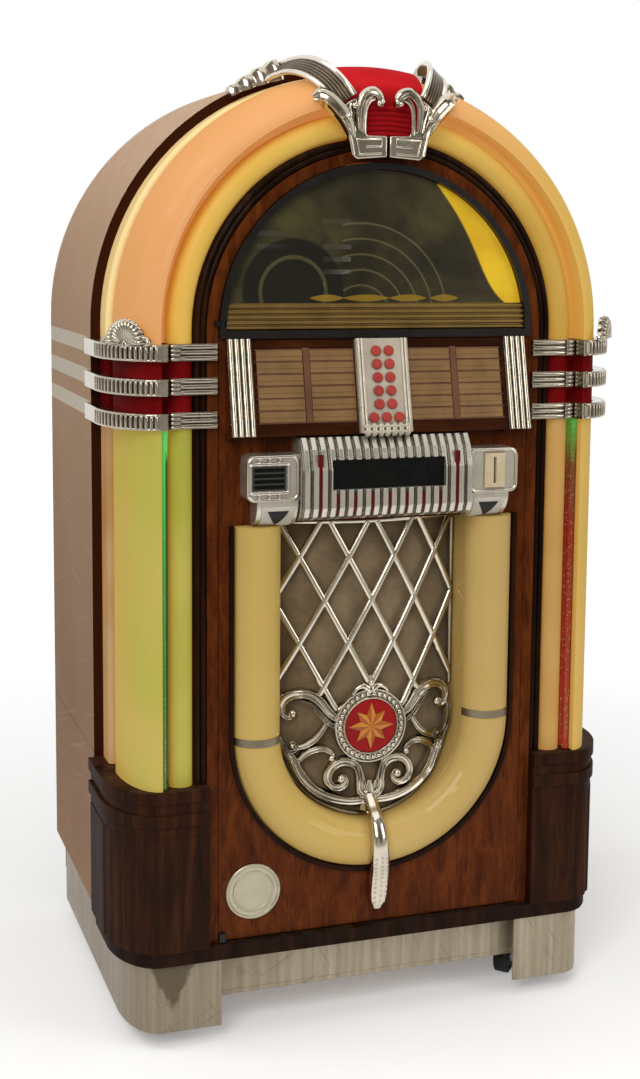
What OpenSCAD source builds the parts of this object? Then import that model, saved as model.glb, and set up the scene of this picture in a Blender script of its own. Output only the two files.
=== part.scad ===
// Arch-top jukebox with lit columns, a hinged front door and a disc changer behind the dome glass.
// X runs to the right, Y to the back and Z up; the origin is on the floor, under the middle of the box.

/* [Cabinet] */
// Half width of the cabinet and outside radius of its arched top
shell_r = 420; // [410:1:440]
// Thickness of the cabinet's plywood shell
shell_t = 18; // [15:1:22]
// Depth of the shell from its front edge to the back panel
shell_d = 384; // [360:1:440]
// Height of the arch's centre above the floor
arch_z = 1133; // [1110:1:1170]
// Thickness of the back panel
back_t = 6; // [4:0.5:10]
// Thickness of the floor board
floor_t = 18; // [12:1:24]
// Slots in each row of the back panel's vents
vent_count = 9; // [5:1:11]

/* [Front] */
// Distance from the veneer face back to the shell's front edge
front_d = 191; // [180:1:210]
// Thickness of the veneered panels
panel_t = 18; // [15:1:22]
// Half width of the door and radius of its round top
door_r = 259.5; // [254:0.5:264]
// Gap between the door and its frame
door_gap = 1; // [0.8:0.1:2]
// Width of the veneer frame round the door
frame_w = 17.5; // [15:0.5:22]
// Width of the dark double moulding round the frame
moulding_w = 20; // [18:0.5:24]

/* [Plinth] */
// Height of the feet above the floor
foot_clear = 27; // [20:1:40]
// Height of the plinth's sides
plinth_h = 135; // [125:1:150]
// Distance of the plinth's sides inside the shell's outside
plinth_inset = 17; // [14:1:20]
// Thickness of the plinth's sides
plinth_t = 12; // [10:1:16]
// Height of the raised strip between the front feet
strip_h = 78; // [65:1:90]
// Height of the dark moulding above the plinth
base_moulding_h = 24; // [20:1:32]
// Height of the floor board's underside
floor_z = 88; // [84:1:96]

/* [Columns] */
// Radius of the inner half-round plastic
tube_r = 20; // [17:0.5:22]
// Wall of the lit plastics
plastic_t = 3; // [2:0.5:4]
// Gap for the bubble tube between the two column plastics
bubble_gap = 14; // [12:0.5:18]
// Radius of the bubble tube
bubble_r = 5.5; // [4:0.5:6]
// Distance of the wide plastic inside the shell's outside
wide_inset = 18; // [16:0.5:20]
// How far the wide plastic stands in front of the veneer
wide_proud = 15; // [12:0.5:18]
// Distance from the shell's front edge to the start of the round corner
corner_set = 90; // [84:1:96]
// Height of the fluted column bases
column_base_h = 262; // [240:1:300]
// Flutes cut in each column base
base_flutes = 6; // [4:1:9]
// Radius of the turning colour cylinders
cylinder_r = 33; // [28:0.5:34]

/* [Bands] */
// Height of one chrome band
band_h = 25.4; // [22:0.2:28]
// Step from one band to the next
band_pitch = 51.7; // [46:0.1:56]
// How far the top band lies under the arch's centre
band_drop = 18; // [14:0.5:24]
// How far the bands stand outside the shell
band_proud = 10; // [8:0.5:12]
// Reeds cut round each band
reed_count = 11; // [7:1:13]
// Radius of the fan crest on the top band
crest_r = 30; // [24:1:34]

/* [Crown] */
// Half angle of the red lens at the top of the arch
lens_angle = 10.2; // [9.5:0.1:11]
// How far the red lens lies inside the shell's outside
lens_inset = 6; // [4:0.5:8]
// How far the crown's arms rise above the shell
crown_rise = 12; // [9:0.5:16]
// Half width of the window between the castings
window_half = 38; // [32:0.5:42]

/* [Dome] */
// Width of the black trim round the dome
trim_w = 10.5; // [10:0.5:13]
// How far the trim stands in front of the veneer
trim_proud = 8; // [7:0.5:10]
// Height of the trim's lower edge below the arch's centre
trim_drop = 11; // [10:0.5:15]
// Height of the reeded sill
sill_h = 42; // [36:0.5:48]
// Ridges along the sill
sill_ridges = 5; // [3:1:6]
// Thickness of the dome glass
glass_t = 4; // [3:0.5:5]

/* [Title rack] */
// Height of the title rack along its face
rack_h = 150; // [140:1:156]
// Lean of the title rack
rack_tilt = 13; // [11:0.5:14]
// Half width of the title rack between its pilasters
rack_half = 211; // [205:0.5:214]
// How far the pilasters stand in front of the rack's face
pilaster_d = 9; // [7:0.5:11]
// Width of one pilaster
pilaster_w = 38; // [34:0.5:40]
// Flutes on each pilaster
pilaster_flutes = 4; // [3:1:5]

/* [Keypad] */
// Half width of the keypad plate
keypad_half = 43; // [40:0.5:46]
// Thickness of the keypad plate
keypad_t = 9; // [8:0.5:11]
// Radius of one button
button_r = 8; // [7:0.1:8.6]
// How far a button stands out of the plate
button_proud = 4; // [3:0.5:5]
// Travel of a button
button_travel = 2.5; // [1.5:0.1:3]
// Running fit of the buttons and shafts
run_fit = 0.08; // [0.05:0.01:0.1]
// Step between neighbouring buttons
button_pitch = 21; // [19:0.1:22]

/* [Console] */
// How far the coin console stands in front of the veneer
console_d = 59; // [54:1:66]
// Half width of the ribbed part
console_half = 142; // [134:1:146]
// Height of the ribbed part
console_h = 130; // [120:1:134]
// Ribs across the console
console_ribs = 20; // [16:2:24]
// Half width of the display window
display_half = 94; // [84:1:100]
// Height of the display window
display_h = 46; // [38:1:50]
// Width of the boxes beside the ribbed part
box_w = 84; // [76:1:90]
// Height of the boxes beside the ribbed part
box_h = 72; // [64:1:76]
// How far the boxes stand in front of the veneer
box_d = 39; // [34:1:44]
// Width of the coin slot
slot_w = 5; // [4.6:0.1:6]
// Length of the coin slot
slot_h = 42; // [36:1:48]

/* [Grille] */
// Outside half width of the cream tube round the grille
grille_r = 236; // [230:0.5:238]
// Width of the cream tube
grille_tube_w = 78; // [70:1:82]
// Width of the dark moulding round the cream tube
grille_moulding_w = 7; // [5:0.5:9]
// Height of the centre of the round bottom
grille_z = 496; // [480:1:520]
// Depth of the speaker baffle behind the veneer face
baffle_d = 71; // [66:1:80]
// Width of one diamond of the lattice
diamond_w = 77; // [70:1:84]
// Height of one diamond of the lattice
diamond_h = 142; // [130:1:150]
// Width of the lattice bars
bar_w = 7; // [5:0.5:9]
// Thickness of the lattice casting
bar_t = 6; // [5:0.5:8]
// Bulge of the lattice casting at its middle
bulge = 38; // [30:1:44]
// Radius of the medallion's disc
medallion_r = 44; // [40:0.5:48]
// Radius of the loudspeaker's rim
woofer_r = 125; // [115:1:132]

/* [Casters] */
// Radius of the caster wheels
wheel_r = 30; // [26:0.5:32]
// Width of the caster wheels
wheel_w = 20; // [16:0.5:22]
// Trail of a caster wheel behind its swivel
caster_trail = 18; // [14:0.5:20]
// Distance of the casters from the middle
caster_x = 296; // [280:1:310]
// Radius of the caster axles
axle_r = 4; // [3:0.5:5]

/* [Changer] */
// Radius of the disc magazine
magazine_r = 120; // [110:1:130]
// Discs in the magazine
disc_count = 24; // [12:1:30]
// Radius of a disc
disc_r = 60; // [58:0.5:62]
// Thickness of a disc
disc_t = 1.2; // [1:0.1:1.6]
// Height of the changer's deck below the arch's centre
deck_drop = 10; // [4:1:30]
// Radius of the changer's shafts
shaft_r = 6; // [5:0.5:8]

/* [Hidden] */
$fn = 96;

// Gap between pieces that lie against each other
seat = 0.4;
// Overlap that joins two shapes of one piece
join = 1;
// Overrun of a cut past the face it starts from
over = 2;

// Depths, from the console's front to the back panel, centred on the origin
depth = console_d + front_d + shell_d + back_t;
face_y = console_d - depth / 2;
edge_y = face_y + front_d;
rear_y = edge_y + shell_d;
panel_back = face_y + panel_t;

// Radii, from the door outwards
opening_r = door_r + door_gap;
frame_r = opening_r + frame_w;
wall_t = 14;
wall_r = frame_r - wall_t;
tube_in = frame_r + moulding_w;
tube_mid = tube_in + tube_r;
tube_out = tube_in + 2 * tube_r;
corner_x = tube_out + bubble_gap;
corner_y = edge_y - corner_set;
wide_a = shell_r - wide_inset - corner_x;
wide_b = corner_y - face_y + wide_proud;
tube_y = face_y + 16;
ledge_y = face_y + 29;
ledge_t = 8;
flange_t = 12;
edge_w = 14;
edge_out = shell_r - shell_t + 2;
edge_in = edge_out - edge_w;
edge_d = 39;
edge_front = edge_y - edge_d;
plastic_seat = 0.6;

// Heights
plinth_top = foot_clear + plinth_h;
moulding_z = plinth_top - base_moulding_h;
base_top = plinth_top + column_base_h;
band_top = arch_z - band_drop;
band_low = band_top - 2 * band_pitch - band_h;
door_low = plinth_top + 3;
floor_top = floor_z + floor_t;
plinth_x = shell_r - plinth_inset;
plinth_in = plinth_x - plinth_t;
foot_in = opening_r - 4.5;
foot_wall = 5;
strip_y = face_y + 28;
strip_t = 12;

// Points of a quarter ellipse round the cabinet's front corner, from the side to the front
corner_steps = 14;
function corner_part(a, b, t0, t1) = [for (i = [0:corner_steps])
    let (t = t0 + (t1 - t0) * i / corner_steps) [corner_x + a * cos(t), corner_y - b * sin(t)]];
function quarter(a, b) = corner_part(a, b, 0, 90);
function reversed(list) = [for (i = [len(list) - 1:-1:0]) list[i]];

module both_sides() {
    children();
    mirror([1, 0, 0]) children();
}

// A flat outline of radius and depth, carried round the arch from angle a0 to a1 above the right side
module round_arch(a0, a1) {
    translate([0, 0, arch_z]) rotate([0, -a0, 0]) mirror([0, 0, 1]) rotate([-90, 0, 0])
        rotate_extrude(angle = a1 - a0, $fn = 180) children();
}

module upright(z0, z1) {
    translate([0, 0, z0]) linear_extrude(z1 - z0) children();
}

// The same outline up both sides and round the whole arch
module arch_run(z0) {
    round_arch(0, 180) children();
    both_sides() upright(z0, arch_z) children();
}

// A flat outline of width and height, standing in the front plane and reaching from y0 to y1
module slab(y0, y1) {
    translate([0, y1, 0]) rotate([90, 0, 0]) linear_extrude(y1 - y0) children();
}

// A flat outline of depth and height, reaching from x0 to x1
module across(x0, x1) {
    translate([x0, 0, 0]) rotate([90, 0, 90]) linear_extrude(x1 - x0) children();
}

// Area under an arch of radius r, down to height z0
module arch_area(r, z0) {
    translate([0, arch_z]) circle(r, $fn = 180);
    translate([-r, z0]) square([2 * r, arch_z - z0]);
}

module block(x0, x1, y0, y1, z0, z1) {
    translate([x0, y0, z0]) cube([x1 - x0, y1 - y0, z1 - z0]);
}

// Cabinet
cleat = 18;
cleat_h = 28;
module cabinet_shell() {
    color([0.52, 0.42, 0.37]) {
        arch_run(plinth_top) translate([shell_r - shell_t, edge_y]) square([shell_t, shell_d]);
        both_sides() block(shell_r - shell_t - cleat, shell_r - shell_t + join, edge_y + flange_t + over,
            rear_y, plinth_top, plinth_top + cleat_h);
    }
}

floor_front = strip_y + strip_t + 6;
module cabinet_floor() {
    color([0.55, 0.42, 0.28]) {
        block(-plinth_in + seat, plinth_in - seat, floor_front, rear_y, floor_z, floor_top);
        block(-foot_in, foot_in, strip_y + strip_t, floor_front + join, floor_z, floor_top);
    }
}

vent_w = 60;
vent_h = 9;
vent_pitch = 24;
vent_step = 130;
back_r = shell_r - 2;
inlet_w = 50;
inlet_h = 30;
inlet_x = 60;
inlet_z = floor_top + 46;
vent_low = floor_top + 130;
vent_high = arch_z - 20;
module vent_rows(z0) {
    for (i = [0:vent_count - 1], s = [-1, 0, 1])
        translate([s * vent_step - vent_w / 2, z0 + i * vent_pitch]) square([vent_w, vent_h]);
}
screw_r = 5;
screw_head = 2.4;
screw_ring = shell_r - shell_t / 2;
screw_steps = 6;
side_screws = 3;
// One screw head, let into the panel by the given clearance, at each fixing place
module screw_heads(clear) {
    side_step = (arch_z - plinth_top) / (side_screws + 0.2);
    places = [for (i = [0:screw_steps])
        let (t = 180 * i / screw_steps) [screw_ring * cos(t), arch_z + screw_ring * sin(t)],
        for (i = [1:side_screws], s = [-1, 1]) [s * screw_ring, arch_z - i * side_step]];
    for (p = places)
        translate([p[0], rear_y + back_t - screw_head, p[1]]) rotate([-90, 0, 0])
            cylinder(screw_head + (clear > 0 ? over : 0), r = screw_r + clear, $fn = 32);
}
module back_panel() {
    color([0.2, 0.16, 0.13]) difference() {
        slab(rear_y, rear_y + back_t) difference() {
            union() {
                arch_area(back_r, plinth_top);
                translate([-plinth_x, floor_z]) square([2 * plinth_x, plinth_top - floor_z + over]);
            }
            vent_rows(vent_low);
            vent_rows(vent_high);
            translate([inlet_x - inlet_w / 2, inlet_z - inlet_h / 2]) square([inlet_w, inlet_h]);
        }
        screw_heads(seat);
    }
}

module panel_screws() {
    color([0.6, 0.6, 0.6]) screw_heads(0);
}

// Veneer frame that the door closes into
module front_frame() {
    color([0.42, 0.2, 0.1]) difference() {
        slab(face_y, panel_back) difference() {
            arch_area(frame_r, plinth_top);
            arch_area(opening_r, plinth_top - over);
        }
        upper_pivot_room();
    }
}

// Walls behind the plastics: the side of the door's bay, the ledge under the inner plastic and the back
ledge_lip = 4;
module tube_channel() {
    color([0.9, 0.88, 0.82]) arch_run(plinth_top) {
        translate([wall_r, panel_back]) square([wall_t, edge_y + flange_t - panel_back]);
        translate([wall_r, ledge_y]) square([tube_out + ledge_lip - wall_r, ledge_t]);
        translate([wall_r, edge_y]) square([shell_r - shell_t - seat - wall_r, flange_t]);
    }
}

bead_step = 4.7;
bead_r = 4.5;
module moulding_profile() {
    mid = frame_r + moulding_w / 2;
    bead_y = face_y + bead_step;
    translate([frame_r + seat, bead_y]) square([moulding_w - 2 * seat, ledge_y - bead_y]);
    for (s = [-1, 1])
        translate([mid + s * bead_step, bead_y]) circle(bead_r, $fn = 24);
}

// Area of the front corner: a side run, a round corner and a front run that ends at inner_x
module corner_area(a, b, inner_x) {
    polygon(concat([[inner_x, edge_y - seat], [corner_x + a, edge_y - seat]], quarter(a, b),
        [[inner_x, corner_y - b]]));
}

base_a = shell_r + 7 - corner_x;
base_b = corner_y - face_y + 19;
base_wall = 15;
base_step = 4;
base_recess = 7;
module dark_mouldings() {
    color([0.1, 0.06, 0.04]) {
        round_arch(0, 180) moulding_profile();
        both_sides() upright(base_top, arch_z) moulding_profile();
        difference() {
            both_sides() upright(moulding_z, plinth_top)
                corner_area(base_a - base_recess, base_b - base_recess, -join);
            both_sides() upright(moulding_z - over, plinth_top + over) difference() {
                corner_area(base_a - 2 * base_wall, base_b - 2 * base_wall, frame_r - base_wall);
                translate([0, face_y - over]) square([wall_r, panel_t + over]);
            }
            block(-wall_r, wall_r, panel_back, edge_y + over, moulding_z - over, plinth_top + over);
            translate([pivot_x, pivot_y, plinth_top - pivot_sink]) cylinder(pivot_sink + over, r = pivot_r);
        }
    }
}

// Plinth: two side runs that turn the front corners as feet, and the raised strip between them
foot_a = plinth_x - corner_x;
foot_b = corner_y - face_y + 6;
module plinth() {
    color([0.75, 0.75, 0.73]) {
        both_sides() {
            upright(foot_clear, moulding_z) difference() {
                corner_area(foot_a, foot_b, foot_in);
                corner_area(foot_a - foot_wall, foot_b - foot_wall, foot_in - over);
            }
            block(plinth_in, plinth_x, edge_y, rear_y, foot_clear, plinth_top);
            block(plinth_in, plinth_x, corner_y, edge_y, foot_clear, moulding_z);
        }
        block(-foot_in, foot_in, strip_y, strip_y + strip_t, moulding_z - strip_h, moulding_z);
    }
}

flute_r = 14;
flute_depth = 2;
flute_out = flute_r - flute_depth;
flute_from = 10;
flute_to = 82;
ring_count = 4;
ring_h = 19;
fluted_top = base_top - ring_count * ring_h;
module flutes(a, b, count, t0, t1, r) {
    for (i = [0:count - 1])
        let (t = t0 + (t1 - t0) * i / (count - 1))
        translate([corner_x + a * cos(t), corner_y - b * sin(t)]) circle(r, $fn = 48);
}
module column_base() {
    difference() {
        union() {
            upright(plinth_top, fluted_top) difference() {
                corner_area(base_a, base_b, frame_r + seat);
                flutes(base_a + flute_out, base_b + flute_out, base_flutes, flute_from, flute_to, flute_r);
            }
            for (i = [0:ring_count - 1])
                let (d = base_step * (i % 2) - 1)
                upright(fluted_top + i * ring_h, fluted_top + (i + 1) * ring_h)
                    corner_area(base_a + d, base_b + d, frame_r + seat);
        }
        upright(plinth_top - over, base_top - base_wall)
            corner_area(base_a - base_wall, base_b - base_wall, frame_r + base_wall);
        block(frame_r - over, corner_x, face_y - seat, edge_y + over, plinth_top - over,
            base_top - base_wall);
    }
}
module column_bases() {
    cut_low = base_top - base_wall - over;
    color([0.2, 0.1, 0.06]) both_sides() difference() {
        column_base();
        block(0, frame_r + seat, panel_back - seat, edge_y, cut_low, base_top + over);
        block(0, tube_out + ledge_lip + seat, panel_back - seat, ledge_y + ledge_t + seat, cut_low,
            base_top + over);
    }
}

// Points of a half circle that bows to the front, from left to right
arc_steps = 20;
function front_arc(x, y, r) = [for (i = [0:arc_steps])
    let (t = 180 + 180 * i / arc_steps) [x + r * cos(t), y + r * sin(t)]];

// Lit plastics: outlines of radius and depth
module edge_profile() {
    polygon(concat([[edge_in, edge_y]], front_arc((edge_in + edge_out) / 2, edge_front, edge_w / 2),
        [[edge_out, edge_y]]));
}

module wide_profile() {
    t = plastic_t;
    a = wide_a - t;
    b = wide_b - t;
    leg = edge_in - seat - t;
    leg_back = edge_y - seat - t;
    polygon(concat(
        [[tube_out + seat, ledge_y], [corner_x + t, ledge_y]],
        corner_part(a, b, acos(t / a), asin(t / 2 / b)),
        [[leg, corner_y - t / 2], [leg, leg_back], [leg + t, leg_back], [leg + t, corner_y + t / 2],
            [corner_x + wide_a, corner_y + t / 2]],
        quarter(wide_a, wide_b),
        [[corner_x, ledge_y - t], [tube_out + seat, ledge_y - t]]));
}

// A half-round channel, open at the back, with legs that end at depth back
module channel_profile(x, y, r, back) {
    t = plastic_t;
    polygon(concat([[x - r, back]], front_arc(x, y, r), [[x + r, back], [x + r - t, back]],
        reversed(front_arc(x, y, r - t)), [[x - r + t, back]]));
}

module inner_profile() {
    channel_profile(tube_mid, tube_y, tube_r - seat, ledge_y);
}

// One plastic on each side of the crown's lens and one on each column
cut_angle = lens_angle + 0.3;
module lit_set() {
    both_sides() {
        round_arch(0, 90 - cut_angle) children();
        upright(band_top, arch_z) children();
        upright(base_top, band_low) children();
    }
}
module edge_plastics() {
    color([0.96, 0.8, 0.5]) lit_set() edge_profile();
}
module wide_plastics() {
    color([0.93, 0.62, 0.35]) lit_set() wide_profile();
}
module inner_plastics() {
    color([0.95, 0.8, 0.4]) lit_set() inner_profile();
}

bubble_x = tube_out + bubble_gap / 2 + 1;
bubble_y = ledge_y - plastic_t - bubble_r - seat;
module bubble_tubes() {
    color([0.3, 0.8, 0.35]) both_sides()
        translate([bubble_x, bubble_y, base_top]) cylinder(band_low - base_top, r = bubble_r);
}

// Red plastics: the collar behind each set of bands and the crown's lens
lens_x = corner_x - 8;
lens_a = shell_r - lens_inset - lens_x;
lens_b = corner_y - face_y + wide_proud + 2;
lens_t = 4;
lens_ribs = 6;
function lens_curve(a, b) = [for (i = [0:corner_steps])
    let (t = 90 * i / corner_steps) [lens_x + a * cos(t), corner_y - b * sin(t)]];
module lens_profile() {
    front = corner_y - lens_b;
    back = edge_y - seat;
    polygon(concat([[lens_x + lens_a, back]], lens_curve(lens_a, lens_b),
        [[tube_in, front], [tube_in, ledge_y - seat], [tube_in + lens_t, ledge_y - seat],
            [tube_in + lens_t, front + lens_t]],
        reversed(lens_curve(lens_a - lens_t, lens_b - lens_t)), [[lens_x + lens_a - lens_t, back]]));
    rib = (lens_x - tube_in) / lens_ribs;
    for (i = [0:lens_ribs - 1])
        translate([tube_in + rib * (i + 0.5), front + 1]) circle(rib * 0.47, $fn = 24);
}
module collar_profile() {
    wide_profile();
    inner_profile();
    edge_profile();
    translate([tube_out - plastic_t, ledge_y - plastic_t]) square([bubble_gap, plastic_t]);
    translate([edge_in - plastic_t - join, edge_y - 4 * plastic_t]) square([2 * plastic_t, plastic_t]);
}
module red_lenses() {
    color([0.7, 0.05, 0.06]) {
        round_arch(90 - lens_angle, 90 + lens_angle) lens_profile();
        both_sides() upright(band_low, band_top) collar_profile();
    }
}

// Chrome bands: a reeded wrap round each column, with an arm across the veneer
band_a = shell_r + band_proud - corner_x;
band_b = corner_y - face_y + 25;
arm_in = opening_r + 3.5;
arm_y = face_y - 9;
bead_x = tube_mid + 6;
bead_w = 11;
flare_x = tube_out + 2;
module band_outline() {
    fit = plastic_seat;
    polygon(concat(
        [[shell_r + band_proud, edge_y - seat]], quarter(band_a, band_b),
        [[corner_x - 6, corner_y - band_b - 4], [flare_x, arm_y - 5], [bead_x + bead_w + 3, arm_y + 2],
            [bead_x + bead_w, arm_y - 2], [bead_x, arm_y - 2], [bead_x, arm_y], [arm_in, arm_y],
            [arm_in, face_y - seat], [tube_in, face_y - seat], [tube_in, tube_y - tube_r - fit],
            [tube_out + 1, tube_y - tube_r - fit], [corner_x - 1, corner_y - wide_b - fit]],
        reversed(quarter(edge_out + fit - corner_x, wide_b + fit)), [[edge_out + fit, edge_y - seat]]));
}
groove_w = 2;
reed_r = 2.6;
reed_from = 26;
reed_to = 80;
module chrome_band() {
    difference() {
        upright(0, band_h) difference() {
            band_outline();
            flutes(band_a, band_b, reed_count, reed_from, reed_to, reed_r);
        }
        for (z = [band_h / 3, band_h * 2 / 3])
            block(arm_in - over, bead_x - groove_w, arm_y - over, arm_y + groove_w,
                z - groove_w / 2, z + groove_w / 2);
    }
}
crest_at = 48;
crest_turn = atan2(cos(crest_at) / band_a, sin(crest_at) / band_b);
crest_t = 10;
crest_sink = 0.5;
crest_lobes = 7;
lobe_r = crest_r * 0.24;
crest_x = corner_x + band_a * cos(crest_at) - (crest_t + crest_sink) * sin(crest_turn);
crest_y = corner_y - band_b * sin(crest_at) + (crest_t + crest_sink) * cos(crest_turn);
module crest() {
    translate([crest_x, crest_y, band_top - join]) rotate([0, 0, crest_turn]) rotate([90, 0, 0])
        linear_extrude(crest_t) intersection() {
            union() {
                circle(crest_r, $fn = 48);
                for (i = [0:crest_lobes - 1])
                    let (t = 180 * (i + 0.5) / crest_lobes)
                    translate([crest_r * cos(t), crest_r * sin(t)]) circle(lobe_r, $fn = 24);
            }
            translate([-2 * crest_r, 0]) square([4 * crest_r, 2 * crest_r]);
        }
}
module chrome_bands() {
    color([0.82, 0.82, 0.8]) both_sides() {
        for (i = [0:2])
            translate([0, 0, band_top - band_h - i * band_pitch]) chrome_band();
        crest();
    }
}

// Crown castings: a plate under the window, a post and a curl beside it and an arm that arches to the shell
crown_y = corner_y - lens_b - 3;
plate_low = arch_z + opening_r + 3;
plate_half = window_half + 20;
plate_h = 30;
plate_d = 11;
plate_foot_h = 14;
post_top = arch_z + corner_x - 6;
post_lean = 12;
curl_x = window_half - 10;
curl_out = 20;
curl_in = 9;
arm_from = 16.5;
arm_to = 12;
arm_t = 7;
arm_a = lens_a + lens_inset + crown_rise;
arm_b = lens_b + crown_rise;
bridge_to = 8;
bridge_w = 14;
tail_from = 32;
tail_t = 11;
tail_front = edge_front - 6;
tail_in = edge_out + plastic_seat;
split = 2;
module arm_profile() {
    back = edge_y - over;
    polygon(concat([[lens_x + arm_a, back]], lens_curve(arm_a, arm_b),
        reversed(lens_curve(arm_a - arm_t, arm_b - arm_t)), [[lens_x + arm_a - arm_t, back]]));
}
module tail_profile(inset, h) {
    translate([tail_in + inset, tail_front + inset]) square([h, edge_y - seat - tail_front - 2 * inset]);
}
module crown_face() {
    plate_top = plate_low + plate_h;
    polygon([[split, plate_low], [plate_half - 6, plate_low], [plate_half, plate_low + 5],
        [plate_half + 2, plate_top], [plate_half + post_lean, post_top - curl_out],
        [plate_half + 4, post_top], [window_half, post_top + curl_in + join],
        [window_half, plate_top], [split, plate_top]]);
    difference() {
        translate([curl_x, post_top]) circle(curl_out, $fn = 48);
        translate([curl_x, post_top]) circle(curl_in, $fn = 32);
        translate([-window_half, post_top - 2 * curl_out]) square([2 * window_half, 2 * curl_out]);
    }
}
module crown_casting() {
    slab(crown_y - plate_d, crown_y) crown_face();
    block(split + join, plate_half - 8, crown_y - join, face_y - seat, plate_low + join,
        plate_low + plate_foot_h);
    round_arch(90 - arm_from, 90 - arm_to) arm_profile();
    round_arch(90 - arm_from + join / 2, 90 - arm_to - join / 2)
        tail_profile(join, shell_r + crown_rise - tail_in - 2 * join);
    round_arch(90 - tail_from, 90 - arm_to - join) tail_profile(0, tail_t);
    round_arch(90 - arm_from + join, 90 - bridge_to)
        translate([corner_x - 12, crown_y - bridge_w]) square(bridge_w);
}
module crown_castings() {
    color([0.82, 0.82, 0.8]) both_sides() crown_casting();
}

// Casters: rigid forks at the back, swivelling forks at the front
caster_front_y = strip_y + 72;
caster_rear_y = rear_y - 80;
plate_t = 5;
plate_size = 64;
fork_t = 4;
fork_gap = wheel_w / 2 + 1.5;
fork_half = 15;
fork_top = floor_z - plate_t - 3;
fork_eye = 2.5 * axle_r;
king_r = 7;
module fork_cheeks(top) {
    for (s = [-1, 1])
        translate([0, s * (fork_gap + fork_t / 2), 0]) rotate([90, 0, 0])
            linear_extrude(fork_t, center = true) union() {
                translate([caster_trail, wheel_r]) circle(fork_eye);
                polygon([[1 - fork_half, top], [fork_half - 1, top], [caster_trail + fork_eye - 0.4, wheel_r],
                    [caster_trail - fork_eye + 0.4, wheel_r]]);
            }
    block(-fork_half, fork_half, -fork_gap - fork_t, fork_gap + fork_t, top - join, top + fork_t);
    translate([caster_trail, 0, wheel_r]) rotate([90, 0, 0])
        cylinder(2 * fork_gap + fork_t, r = axle_r, center = true);
}
left_turn = -45;
right_turn = 225;
plate_half_w = plate_size / 2;
module caster_place(x, y, turn) {
    translate([x, y, 0]) rotate([0, 0, turn]) children();
}
module caster_plates() {
    color([0.35, 0.35, 0.36]) for (s = [-1, 1]) {
        translate([s * caster_x, caster_front_y, floor_z - plate_t]) difference() {
            block(-plate_half_w, plate_half_w, -plate_half_w, plate_half_w, 0, plate_t);
            translate([0, 0, -over]) cylinder(plate_t + 2 * over, r = king_r + run_fit);
        }
        translate([s * caster_x, caster_rear_y, 0]) {
            block(-plate_half_w, plate_half_w, -plate_half_w, plate_half_w, floor_z - plate_t, floor_z);
            rotate([0, 0, -90]) translate([-caster_trail, 0, 0]) fork_cheeks(floor_z - plate_t - fork_t);
        }
    }
}
module caster_fork() {
    fork_cheeks(fork_top - fork_t);
    translate([0, 0, fork_top - join]) cylinder(floor_z - seat - fork_top + join, r = king_r);
}
module caster_fork_left() {
    color([0.4, 0.4, 0.41]) caster_place(-caster_x, caster_front_y, left_turn) caster_fork();
}
module caster_fork_right() {
    color([0.4, 0.4, 0.41]) caster_place(caster_x, caster_front_y, right_turn) caster_fork();
}
rim_r = wheel_r * 0.72;
rim_groove = 4;
module wheel() {
    rotate([90, 0, 0]) rotate_extrude() difference() {
        translate([axle_r + run_fit, -wheel_w / 2]) square([wheel_r - axle_r - run_fit, wheel_w]);
        for (s = [-1, 1])
            translate([rim_r, s * wheel_w / 2]) rotate(45) square(rim_groove, center = true);
    }
}
module front_wheel(x, turn) {
    color([0.06, 0.06, 0.06]) caster_place(x, caster_front_y, turn)
        translate([caster_trail, 0, wheel_r]) wheel();
}
module rear_wheel(x) {
    color([0.06, 0.06, 0.06]) translate([x, caster_rear_y, wheel_r]) rotate([0, 0, -90]) wheel();
}
module wheel_front_left() {
    front_wheel(-caster_x, left_turn);
}
module wheel_front_right() {
    front_wheel(caster_x, right_turn);
}
module wheel_rear_left() {
    rear_wheel(-caster_x);
}
module wheel_rear_right() {
    rear_wheel(caster_x);
}

// Column lamps with the colour cylinders that turn round them
cylinder_x = (frame_r + edge_in - seat - plastic_t) / 2;
cylinder_y = edge_y - corner_set - 8;
cylinder_low = base_top + 24;
cylinder_high = band_low - 24;
cylinder_t = 1.5;
lamp_r = 8;
boss_r = 12;
collar_r = 18;
hub_t = 6;
module column_lamps() {
    color([0.95, 0.95, 0.9]) both_sides() translate([cylinder_x, cylinder_y, 0]) {
        translate([0, 0, base_top]) cylinder(band_low - base_top, r = lamp_r);
        translate([0, 0, base_top]) cylinder(cylinder_low - base_top + hub_t, r = boss_r);
        translate([0, 0, base_top]) cylinder(cylinder_low - base_top - seat, r = collar_r);
        translate([0, 0, cylinder_high - hub_t]) cylinder(band_low - cylinder_high + hub_t, r = boss_r);
    }
}
module colour_cylinder() {
    translate([cylinder_x, cylinder_y, 0]) {
        translate([0, 0, cylinder_low]) difference() {
            cylinder(cylinder_high - cylinder_low, r = cylinder_r);
            translate([0, 0, hub_t])
                cylinder(cylinder_high - cylinder_low - 2 * hub_t, r = cylinder_r - cylinder_t);
            translate([0, 0, -over]) cylinder(cylinder_high - cylinder_low + 2 * over, r = boss_r + run_fit);
        }
    }
}
module colour_cylinder_right() {
    color([0.9, 0.75, 0.3]) colour_cylinder();
}
module colour_cylinder_left() {
    color([0.9, 0.75, 0.3]) mirror([1, 0, 0]) colour_cylinder();
}

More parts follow.
